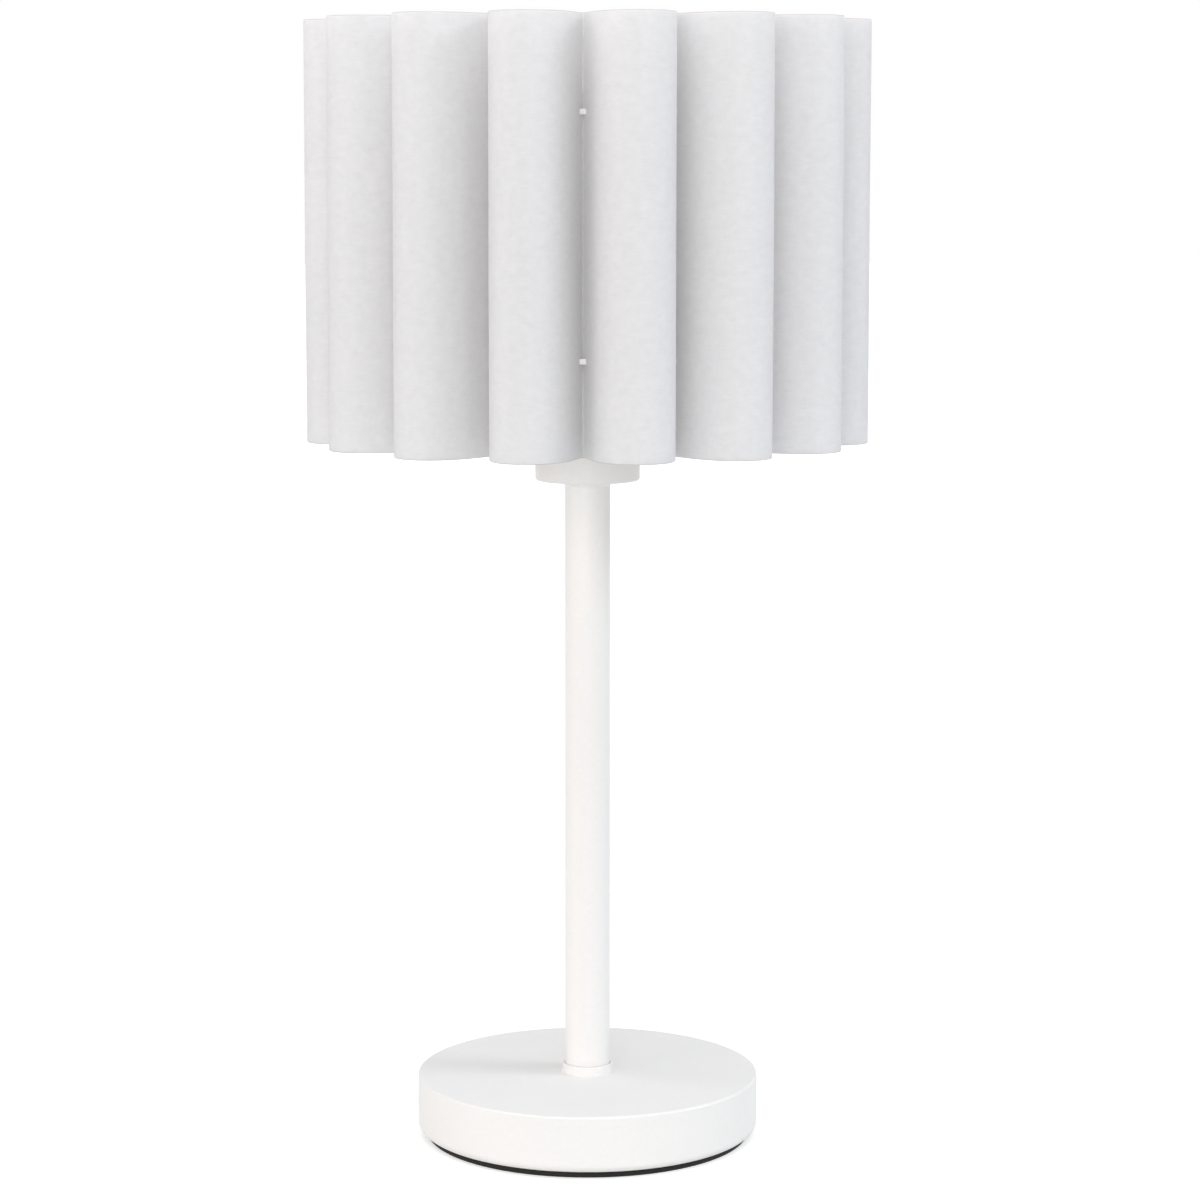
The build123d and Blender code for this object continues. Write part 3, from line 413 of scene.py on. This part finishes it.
def make_finishes():
    """Every finish of the lamp, by the name of its slot in the record.

    The two bare numbers of each are its grain and relief.
    """
    stand = bpy.context.scene.lamp_stand
    return {
        # Baked polyester powder flows into a very shallow orange peel, satin and almost white
        "white_powder_coat": grained(
            "polyester powder coat, baked", stand.coat, stand.coat_low, 1.6, 0.012,
            detail=2.0, roughness=0.42, ior=1.5, coat_weight=0.12, coat_roughness=0.3,
        ),
        "shade_cloth": lining_material(bpy.context.scene.lamp_shade),
        # Dipped wire has a thicker, softer coat than the pole, so its highlights are broader
        "white_wire": grained(
            "dip-coated steel wire", linear("#F3F2EF"), linear("#E9E8E4"), 2.2, 0.03,
            roughness=0.5, ior=1.5,
        ),
        # Moulded nylon lets a little light in, which softens its edges
        "white_nylon": grained(
            "nylon, moulded", linear("#FCFBFB"), linear("#F5F4F4"), 0.8, 0.01,
            roughness=0.5, ior=1.53, subsurface_weight=0.05, subsurface_scale=0.001,
        ),
        # Closed cells open where the sheet was cut, so the foam is dark, dull and pitted
        "black_foam": grained(
            "EVA foam, die cut", stand.foam, linear("#1B1A19"), 0.45, 0.12,
            detail=6.0, roughness=0.92, ior=1.48,
        ),
        # Sand from the mould leaves a coarse dark skin
        "cast_iron": grained(
            "grey iron, sand cast", linear("#55555A"), linear("#38383B"), 1.1, 0.12,
            detail=8.0, metallic=1.0, roughness=0.68,
        ),
        # Zinc leaves small bright and dull crystals
        "zinc_steel": grained(
            "steel, zinc plated", linear("#CBCDD0"), linear("#A9ACB2"), 2.4, 0.006,
            metallic=1.0, roughness=0.34,
        ),
        # Turning leaves fine level grooves in yellow metal
        "brass": grained(
            "brass, turned", linear("#D9B86A"), linear("#BD9A4C"), 1.2, 0.015,
            stretch=(0.15, 0.15, 4.0), metallic=1.0, roughness=0.28,
        ),
        # Nickel is warm grey and reflects softly
        "nickel_brass": grained(
            "brass, rolled and nickel plated", linear("#D2CFC8"), linear("#B9B5AD"), 1.8, 0.008,
            stretch=(0.3, 0.3, 2.0), metallic=1.0, roughness=0.22,
        ),
        # The mould was spark-eroded, which leaves an even fine grain
        "white_thermoplastic": grained(
            "PBT, moulded", linear("#F2F1EC"), linear("#E6E5DF"), 0.5, 0.02,
            roughness=0.45, ior=1.55, subsurface_weight=0.08, subsurface_scale=0.002,
        ),
        # Fired without glaze, it is chalky and slightly speckled
        "steatite": grained(
            "steatite, pressed and fired", linear("#EDE8DA"), linear("#D9D2C0"), 0.6, 0.03,
            detail=8.0, roughness=0.6, ior=1.58,
        ),
        # Extruded plasticised PVC is smooth with faint die lines
        "brown_pvc": grained(
            "brown PVC, extruded", linear("#6A4630"), linear("#563725"), 1.5, 0.01,
            roughness=0.36, ior=1.53,
        ),
        "blue_pvc": grained(
            "blue PVC, extruded", linear("#3A66B0"), linear("#2D5596"), 1.5, 0.01,
            roughness=0.36, ior=1.53,
        ),
        "green_yellow_pvc": striped_lead_material(),
        # Opal pigment scatters light inside the wall, so the globe looks soft and milky
        "opal_polycarbonate": grained(
            "opal polycarbonate, blown", linear("#F7F6F1"), linear("#F0EFE9"), 6.0, 0.004,
            roughness=0.38, ior=1.585, subsurface_weight=0.35, subsurface_scale=0.006,
        ),
        # Glass fused into the cap is black and glossy with a few seeds
        "black_glass": grained(
            "black glass, fused", linear("#161617"), linear("#0C0C0D"), 1.2, 0.02,
            roughness=0.08, ior=1.52,
        ),
        # White solder mask on aluminium is glossy with a slight ripple
        "circuit_board": grained(
            "white solder mask, screened", linear("#F0F0EC"), linear("#E3E3DF"), 1.5, 0.008,
            roughness=0.3, ior=1.5,
        ),
    }


# The shade


def half_lobe(shade, inset):
    """Points (across, outwards) of half a lobe from the valley's floor to the tip, for each inset.

    The path is an arc about the valley's centre, a straight wall, an arc about the side's centre
    and an arc about the nose's centre, each tangent to the next. The side's centre lies on the
    far side of the lobe's axis, so that the lobe is widest at the given half width. An inset
    shrinks the side and nose arcs and widens the valley's, so all lines stay parallel.
    """
    fold_steps, wall_steps, side_steps, nose_steps = 9, 8, 12, 8
    half_step = np.pi / shade.lobes
    nose = np.array([0.0, shade.radius - shade.nose])
    side_across = shade.half_width - shade.side
    side_drop = np.sqrt((shade.side - shade.nose) ** 2 - side_across**2)
    side = np.array([side_across, nose[1] - side_drop])
    valley = (shade.valley + shade.fold) * np.array([np.sin(half_step), np.cos(half_step)])
    to_valley = valley - side
    wall = np.arctan2(to_valley[1], to_valley[0]) + np.arccos(
        (shade.side + shade.fold) / np.hypot(*to_valley)
    )
    shoulder = np.arctan2(side_drop, -side_across)

    def arc(centre, reach, start, end, steps):
        angle = np.linspace(start, end, steps)
        direction = np.stack([np.cos(angle), np.sin(angle)], axis=-1)
        return centre + reach[:, None, None] * direction

    floor_angle = 1.5 * np.pi - half_step
    fold = arc(valley, shade.fold + inset, floor_angle, wall + np.pi, fold_steps)
    flank = arc(side, shade.side - inset, wall, shoulder, side_steps)
    tip = arc(nose, shade.nose - inset, shoulder, np.pi / 2, nose_steps)
    share = np.linspace(0, 1, wall_steps)[None, 1:-1, None]
    straight = fold[:, -1:] * (1 - share) + flank[:, :1] * share
    return np.concatenate([fold, straight, flank, tip[:, 1:]], axis=1)


def shade_outline(shade, inset):
    """The shade's closed plan outline for each inset, anticlockwise from a valley's floor.

    A lobe is its half from the floor to the tip, mirrored, and then its half back to the next
    floor. The lobes are that line turned by equal steps about the pole's axis.
    """
    half = half_lobe(shade, inset)
    rising = half * (-1, 1)
    falling = half[:, -2:0:-1]
    lobe = np.concatenate([rising, falling], axis=1)
    angle = np.pi / 2 + shade.turn + FULL_TURN / shade.lobes * np.arange(shade.lobes)[:, None]
    across, out = lobe[:, None, :, 0], lobe[:, None, :, 1]
    x = out * np.cos(angle) - across * np.sin(angle)
    y = out * np.sin(angle) + across * np.cos(angle)
    return np.stack([x, y], axis=-1).reshape(len(inset), -1, 2)


def cloth_section(shade, low, high):
    """The cloth's closed section as insets and heights: up the outside, over, and down the inside.

    Both rims are half circles. The inside steps by a smooth curve from the hem's thickness to the
    cloth's over half a millimetre at the hem's height.
    """
    rim_steps, hem_steps, middle_steps = 7, 7, 9
    fade, beyond_hem = 0.5 * MM, 1.0 * MM
    rim = shade.hem / 2
    end = shade.hem_height + beyond_hem
    inner_low = low + np.linspace(rim, end, hem_steps)
    inner_high = high - np.linspace(end, rim, hem_steps)
    middle = np.linspace(low + 2 * end, high - 2 * end, middle_steps)
    rise = np.concatenate([inner_low, middle, inner_high])
    from_rim = np.minimum(rise - low, high - rise)
    step = np.clip((from_rim - shade.hem_height) / fade, 0, 1)
    inside = shade.hem - (shade.hem - shade.thickness) * step**2 * (3 - 2 * step)
    angle = np.linspace(0, np.pi, rim_steps)[1:-1]
    inset = np.concatenate(
        [np.zeros_like(rise), rim - rim * np.cos(angle), inside[::-1], rim + rim * np.cos(angle)]
    )
    height = np.concatenate(
        [rise, high - rim + rim * np.sin(angle), rise[::-1], low + rim - rim * np.sin(angle)]
    )
    inside_columns = np.repeat([0, 0, 1, 0], [len(rise), len(angle), len(rise), len(angle)])
    return inset, height, inside_columns


def build_cloth(finishes):
    """The cloth: its plan outline carried up its section, strayed a little as a hand-bent strip does.

    The stray is a sum of three slow waves in the angle about the axis and the height. Each wave
    has its number of waves round the shade, its start and its number of half waves up the height.
    """
    waves = ((2, 0.7, 1), (5, 1.9, -2), (11, 0.4, 3))
    shade = bpy.context.scene.lamp_shade
    low, high = (corner.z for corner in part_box("shade_fabric"))
    inset, height, lining = cloth_section(shade, low, high)
    plan = np.swapaxes(shade_outline(shade, inset), 0, 1)
    theta = np.arctan2(plan[:, :1, 1], plan[:, :1, 0])
    level = (height - low) / (high - low) * np.pi
    stray = sum(np.sin(count * theta + start + climb * level) for count, start, climb in waves)
    scale = 1 + shade.wander / len(waves) / shade.radius * stray
    heights = np.broadcast_to(height, scale.shape)
    points = np.concatenate([plan * scale[..., None], heights[..., None]], axis=-1)
    outer = plan[:, 0]
    steps = np.linalg.norm(np.roll(outer, -1, axis=0) - outer, axis=-1)
    distance = np.concatenate([[0.0], np.cumsum(steps)])
    mesh = surface("shade_cloth", points, strip=(distance, height - low), slots=lining)
    sides = [cloth_material(shade), finishes["shade_cloth"]]
    cloth = place("shade_cloth", mesh, sides, "shade", "shade_cloth", "shade_fabric")


def build_ties(finishes):
    """Nylon ties: a flat strap round each upright and a square head behind it.

    The strap is a rounded strip section carried round a rounded rectangle, whose corner radius
    grows from nothing on the strap's inner face to its full size on the outer one. The head is a
    superellipsoid, whose coordinates are cosines and sines raised to a small power, so its sides
    are nearly flat and its edges soft.
    """
    shade = bpy.context.scene.lamp_shade
    strap, width, front, depth = 0.5 * MM, 3.2 * MM, 93.4 * MM, 7.5 * MM
    height, edge, corner = 2.4 * MM, 0.1 * MM, 0.25 * MM
    head = np.array([2.4, 4.0, 3.4]) * MM / 2
    edge_steps, corner_steps, head_around, head_along, power = 4, 5, 28, 15, 0.22
    centre = front - depth / 2
    section = rounded_rectangle(np.array([strap, height]) / 2, edge, edge_steps)
    outwards = section[:, 0] - strap / 2
    half_sizes = np.array([depth, width]) / 2 + outwards[:, None]
    corners = corner * (1 + outwards / strap)
    flat = rounded_rectangle(half_sizes, corners, corner_steps).swapaxes(0, 1)
    rise = np.broadcast_to(section[:, 1], flat.shape[:2])
    loop = np.concatenate([flat + (centre, 0.0), rise[..., None]], axis=-1)
    angle = np.linspace(0, FULL_TURN, head_around, endpoint=False)[:, None]
    tilt = np.linspace(-np.pi / 2, np.pi / 2, head_along)

    def soft(values):
        return np.sign(values) * np.abs(values) ** power

    girth = soft(np.cos(tilt))
    girth[[0, -1]] = 0.0
    block = np.stack(
        [
            head[0] * girth * soft(np.cos(angle)) + centre - depth / 2 - head[0],
            head[1] * girth * soft(np.sin(angle)),
            head[2] * np.broadcast_to(soft(np.sin(tilt)), (head_around, head_along)),
        ],
        axis=-1,
    )
    for name in ("ties_lower", "ties_upper"):
        low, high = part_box(name)
        level = (low.z + high.z) / 2
        meshes = []
        for number in range(shade.lobes):
            turn = np.pi / 2 + shade.turn + FULL_TURN / shade.lobes * (number + 0.5)
            cos, sin = np.cos(turn), np.sin(turn)
            spin = np.array([[cos, sin, 0], [-sin, cos, 0], [0, 0, 1]])
            meshes.append(surface(f"{name}_strap", loop @ spin + (0, 0, level)))
            meshes.append(surface(f"{name}_head", block @ spin + (0, 0, level), poles=True))
        piece = name.replace("ties", "shade_ties")
        place(piece, joined(piece, meshes), [finishes["white_nylon"]], "shade", "white_nylon", name)


# Base pad, threads and bulb


def build_pad(finishes):
    """The foam pad: a disc whose edge bulges between the base and the table.

    The edge follows r = radius - bulge * (2 h)^2, where h is the height from the middle as a share
    of the thickness, and its two corners are a quarter circle. The straight part between them
    climbs faster than the corners turn by the given lead.
    """
    bulge, rounding, lead = 0.35 * MM, 0.5 * MM, 1.25
    edge_steps, spoke_steps, segments = 25, 6, 144
    low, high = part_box("base_pad")
    thickness = high.z - low.z
    angle = np.linspace(-np.pi / 2, np.pi / 2, edge_steps)
    straight = (thickness / 2 - rounding) * np.clip(angle / (np.pi / 2) * lead, -1, 1)
    height = straight + rounding * np.sin(angle)
    share = height / thickness
    radius = high.x - rounding * (1 - np.cos(angle)) - bulge * (2 * share) ** 2
    spokes = np.linspace(0, 1, spoke_steps)[:-1] * radius[0]
    bottom = np.stack([spokes, np.full_like(spokes, low.z)], axis=-1)
    edge = np.stack([radius, low.z + thickness / 2 + height], axis=-1)
    top = np.stack([spokes[::-1], np.full_like(spokes, high.z)], axis=-1)
    profile = np.concatenate([bottom, edge, top])
    mesh = turned("foam_pad", profile, segments, poles=True)
    pad = place("foam_pad", mesh, [finishes["black_foam"]], "stand", "black_foam", "base_pad")


def faded(height, low, high, run):
    """One between low and high, falling to zero by a smooth curve over the run at both ends."""
    share = np.clip(np.minimum(height - low, high - height) / run, 0, 1)
    return share**2 * (3 - 2 * share)


def thread_line(radius, low, high, pitch, steps=14):
    """Points (radius, height) of an upright line, close enough to draw a thread of that pitch."""
    heights = np.linspace(low, high, int(np.ceil((high - low) / pitch * steps)) + 1)
    return np.stack([np.full_like(heights, radius), heights], axis=-1)


def build_rods(finishes):
    """The two hollow rods with their metric thread on the outside and a plain bore."""
    stand = bpy.context.scene.lamp_stand
    bore, steps, segments = 3.5 * MM, 10, 48
    for name in ("clamp_nipple", "head_nipple"):
        low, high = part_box(name)
        outside = thread_line(high.x, low.z, high.z, stand.rod_pitch, steps)
        inside = np.array([(bore, high.z), (bore, low.z)])
        profile = np.concatenate([outside, inside])
        share = np.concatenate([faded(outside[:, 1], low.z, high.z, stand.rod_pitch / 2), [0, 0]])
        mesh = turned(name, profile, segments, thread=(stand.rod_pitch, stand.rod_depth, share))
        piece = name.replace("nipple", "rod_threaded")
        place(piece, mesh, [finishes["zinc_steel"]], "stand", "zinc_steel", name)


def build_skirt(finishes):
    """The lampholder's upper half, with the round outer thread that the retaining ring runs on."""
    stand = bpy.context.scene.lamp_stand
    inner, lip, spigot, edge = 15.0 * MM, 14.4 * MM, 17.45 * MM, 0.5 * MM
    lip_height, spigot_height, segments = 3.0 * MM, 2.7 * MM, 128
    low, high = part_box("holder_skirt")
    start = low.z + spigot_height
    outside = thread_line(high.x, start + edge, high.z - edge, stand.skirt_pitch)
    before = np.array([(inner, low.z), (spigot, low.z), (spigot, start), (high.x - edge, start)])
    after = np.array(
        [
            (high.x - edge, high.z),
            (lip + edge, high.z),
            (lip, high.z - edge),
            (lip, high.z - lip_height),
            (inner, high.z - lip_height - edge),
        ]
    )
    profile = np.concatenate([before, outside, after])
    threaded = faded(outside[:, 1], start, high.z, stand.skirt_pitch)
    share = np.concatenate([np.zeros(len(before)), threaded, np.zeros(len(after))])
    mesh = turned("holder_thread", profile, segments, thread=(stand.skirt_pitch, stand.skirt_depth, share))
    plastic = finishes["white_thermoplastic"]
    place("holder_thread", mesh, [plastic], "stand", "white_thermoplastic", "holder_skirt")


def build_bulb_cap(finishes):
    """The bulb's rolled cap, whose sheet follows the thread on both faces."""
    stand = bpy.context.scene.lamp_stand
    wall, foot_hole, foot_height = 0.35 * MM, 8.2 * MM, 3.4 * MM
    low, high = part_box("bulb_cap")
    start = low.z + foot_height
    outside = thread_line(high.x, start, high.z, stand.cap_pitch)
    inside = outside[::-1] - (wall, 0)
    foot = np.array([(foot_hole, low.z + wall), (foot_hole, low.z)])
    profile = np.concatenate([outside, inside, foot])
    threaded = faded(outside[:, 1], start, high.z, stand.cap_pitch)
    share = np.concatenate([threaded, threaded[::-1], [0, 0]])
    mesh = turned("bulb_cap_rolled", profile, thread=(stand.cap_pitch, stand.cap_depth, share))
    place("bulb_cap_rolled", mesh, [finishes["nickel_brass"]], "bulb", "nickel_brass", "bulb_cap")


def build_bulb_housing(finishes):
    """The bulb's housing: a spigot in the cap, a neck on it, and a cone up to the globe.

    The cone is tangent to the globe, so its rise over its run is the shoulder's radius over the
    shoulder's depth under the globe's centre. The neck runs into the cone by a parabola.
    """
    bore, spigot, neck, seam = 11.2 * MM, 11.75 * MM, 13.9 * MM, 0.35 * MM
    ledge, board, blend, blend_steps = 24.6 * MM, 1.65 * MM, 6.0 * MM, 13
    globe_radius = 30.0 * MM
    low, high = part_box("bulb_housing")
    bottom, split, shoulder = low.z, high.z, high.x
    cap_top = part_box("bulb_cap")[1].z
    taper = shoulder / (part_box("bulb_globe")[1].z - globe_radius - split)
    cone_start = split - (shoulder - neck) * taper
    along = np.linspace(-1, 1, blend_steps)
    curve = np.stack([neck + blend / taper * (along + 1) ** 2 / 4, cone_start + blend * along], axis=-1)
    profile = np.concatenate(
        [
            [(bore, bottom), (spigot, bottom), (spigot, cap_top), (neck, cap_top)],
            curve,
            [(shoulder - seam / taper, split - seam), (shoulder - seam, split), (ledge, split)],
            [(ledge, split - board), (bore, split - board)],
        ]
    )
    mesh = turned("bulb_housing_moulded", profile)
    plastic = finishes["white_thermoplastic"]
    place("bulb_housing_moulded", mesh, [plastic], "bulb", "white_thermoplastic", "bulb_housing")


def finish_nodes(finishes):
    """Give every node of the frame the finish that the record names for it."""
    for part in frame["record"]["subparts"]:
        slots = frame["nodes"][part["node"]].data.materials
        slots.clear()
        slots.append(finishes[part["material_slot"]])


# Studio


def build_studio():
    """A white table and sky, five soft lights and the camera.

    The low light in front reaches into the shade's valleys and under the shade. The narrow lights
    on both sides give the pole its two soft shadows on the base. The camera tilts down instead of
    shifting its lens far, so that the whole lamp stays in frame from every side.
    """
    studio = bpy.context.scene.lamp_studio
    scene = bpy.context.scene
    scene.view_settings.view_transform = "Standard"

    half_width, lifted = 12.0, 0.5
    corners = [(x * half_width, y * half_width, 0) for x, y in ((-1, -1), (1, -1), (1, 1), (-1, 1))]
    mesh = bpy.data.meshes.new("table_top")
    mesh.from_pydata(corners, [], [(0, 1, 2, 3)])
    table = bpy.data.objects.new("table_top", mesh)
    scene.collection.objects.link(table)

    # A matt white board. What the camera sees of it is lifted to white, apart from the lamp's shadow
    material = empty_material("matt white board, painted")
    tree = material.node_tree
    light_path = add_node(tree, "ShaderNodeLightPath").outputs
    seen = calculated(tree, "MAXIMUM", light_path["Is Camera Ray"], light_path["Is Glossy Ray"])
    paint = {"Base Color": linear("#DDDDDC"), "Roughness": 0.9}
    board = add_node(tree, "ShaderNodeBsdfPrincipled", paint)
    glow = add_node(
        tree, "ShaderNodeEmission", {"Strength": calculated(tree, "MULTIPLY", seen, lifted)}
    )
    lit = add_node(tree, "ShaderNodeAddShader", {0: board.outputs[0], 1: glow.outputs[0]})
    below = add_node(tree, "ShaderNodeNewGeometry").outputs["Backfacing"]
    clear = add_node(tree, "ShaderNodeBsdfTransparent")
    top_only = add_node(tree, "ShaderNodeMixShader", {0: below, 1: lit.outputs[0], 2: clear.outputs[0]})
    add_node(tree, "ShaderNodeOutputMaterial", {"Surface": top_only.outputs[0]})
    mesh.materials.append(material)

    world = bpy.data.worlds.new("white studio")
    world.use_nodes = True
    tree = world.node_tree
    tree.nodes.clear()
    light_path = add_node(tree, "ShaderNodeLightPath").outputs
    direct = calculated(tree, "MAXIMUM", light_path["Is Camera Ray"], light_path["Is Glossy Ray"])
    seen = calculated(tree, "MAXIMUM", direct, light_path["Is Transmission Ray"])
    level = add_node(
        tree, "ShaderNodeMapRange", {"Value": seen, "To Min": studio.sky, "To Max": 1.0}
    ).outputs[0]
    tint = mixed_colour(tree, seen, linear("#FAFCFF"), linear("#FFFFFF"))
    sky = add_node(tree, "ShaderNodeBackground", {"Color": tint, "Strength": level})
    add_node(tree, "ShaderNodeOutputWorld", {"Surface": sky.outputs[0]})
    scene.world = world

    # Name, strength, direction from the front, height and spread in degrees, and tint
    lights = (
        ("front_light", studio.front, -10.0, 5.0, 40.0, "#FDFCF8"),
        ("left_light", studio.left, -60.0, 8.0, 50.0, "#FFF1E5"),
        ("right_light", studio.right, 80.0, 30.0, 24.0, "#F5FAFF"),
        ("back_light", studio.back, -101.0, 40.0, 22.0, "#FDFAF4"),
        ("top_light", studio.top, 0.0, 80.0, 60.0, "#F5FBFF"),
    )
    for name, strength, azimuth, elevation, spread, tint in lights:
        light = bpy.data.lights.new(name, "SUN")
        light.energy = strength
        light.angle = np.radians(spread)
        light.color = linear(tint)[:3]
        sun = bpy.data.objects.new(name, light)
        sun.rotation_euler = (np.radians(90.0 - elevation), 0.0, np.radians(azimuth))
        scene.collection.objects.link(sun)

    camera = bpy.data.cameras.new("camera")
    camera.lens = studio.focal
    camera.shift_x, camera.shift_y = studio.shift_x, studio.shift_y
    eye = bpy.data.objects.new("camera", camera)
    eye.location = (0.0, -studio.distance, studio.eye)
    eye.rotation_euler = (np.pi / 2 - studio.tilt, 0.0, 0.0)
    scene.collection.objects.link(eye)
    scene.camera = eye


# Add-on classes


class LAMP_OT_studio(bpy.types.Operator):
    """Set up the table, the light and the camera"""

    bl_idname = "lamp.studio"
    bl_label = "Studio"

    def execute(self, context):
        build_studio()
        return {"FINISHED"}


class LAMP_OT_finishes(bpy.types.Operator):
    """Give every rigid piece its finish"""

    bl_idname = "lamp.finishes"
    bl_label = "Finishes"

    def execute(self, context):
        finish_nodes(make_finishes())
        return {"FINISHED"}


def made_finishes():
    """The finishes that the frame's nodes already have, by slot."""
    return {
        part["material_slot"]: frame["nodes"][part["node"]].data.materials[0]
        for part in frame["record"]["subparts"]
    }


class LAMP_OT_cloth(bpy.types.Operator):
    """Make the shade's cloth"""

    bl_idname = "lamp.cloth"
    bl_label = "Shade cloth"

    def execute(self, context):
        build_cloth(made_finishes())
        return {"FINISHED"}


class LAMP_OT_ties(bpy.types.Operator):
    """Make the ties that hold the cloth to its frame"""

    bl_idname = "lamp.ties"
    bl_label = "Shade ties"

    def execute(self, context):
        build_ties(made_finishes())
        return {"FINISHED"}


class LAMP_OT_pad(bpy.types.Operator):
    """Make the foam pad under the base"""

    bl_idname = "lamp.pad"
    bl_label = "Foam pad"

    def execute(self, context):
        build_pad(made_finishes())
        return {"FINISHED"}


class LAMP_OT_threads(bpy.types.Operator):
    """Make the threaded rods and the lampholder's thread"""

    bl_idname = "lamp.threads"
    bl_label = "Threads"

    def execute(self, context):
        build_rods(made_finishes())
        build_skirt(made_finishes())
        return {"FINISHED"}


class LAMP_OT_bulb(bpy.types.Operator):
    """Make the bulb's cap and housing"""

    bl_idname = "lamp.bulb"
    bl_label = "Bulb"

    def execute(self, context):
        build_bulb_cap(made_finishes())
        build_bulb_housing(made_finishes())
        return {"FINISHED"}


OPERATORS = (
    LAMP_OT_studio,
    LAMP_OT_finishes,
    LAMP_OT_cloth,
    LAMP_OT_ties,
    LAMP_OT_pad,
    LAMP_OT_threads,
    LAMP_OT_bulb,
)
SETTINGS = (
    ("lamp_shade", ShadeSettings),
    ("lamp_stand", StandSettings),
    ("lamp_studio", StudioSettings),
)


class LAMP_PT_panel(bpy.types.Panel):
    """Steps and sizes of the lamp"""

    bl_label = "Table lamp"
    bl_idname = "LAMP_PT_panel"
    bl_space_type = "VIEW_3D"
    bl_region_type = "UI"
    bl_category = "Lamp"

    def draw(self, context):
        for operator in OPERATORS:
            self.layout.operator(operator.bl_idname)
        for name, group in SETTINGS:
            box = self.layout.box()
            box.label(text=group.__doc__)
            for field in group.__annotations__:
                box.prop(getattr(context.scene, name), field)


CLASSES = (ShadeSettings, StandSettings, StudioSettings, *OPERATORS, LAMP_PT_panel)


def register():
    for cls in CLASSES:
        bpy.utils.register_class(cls)
    for name, group in SETTINGS:
        setattr(bpy.types.Scene, name, bpy.props.PointerProperty(type=group))


def unregister():
    for name, _ in SETTINGS:
        delattr(bpy.types.Scene, name)
    for cls in reversed(CLASSES):
        bpy.utils.unregister_class(cls)


def main():
    """Build everything in order."""
    register()
    bpy.ops.lamp.studio()
    bpy.ops.lamp.finishes()
    bpy.ops.lamp.cloth()
    bpy.ops.lamp.ties()
    bpy.ops.lamp.pad()
    bpy.ops.lamp.threads()
    bpy.ops.lamp.bulb()


if __name__ == "__main__":
    main()
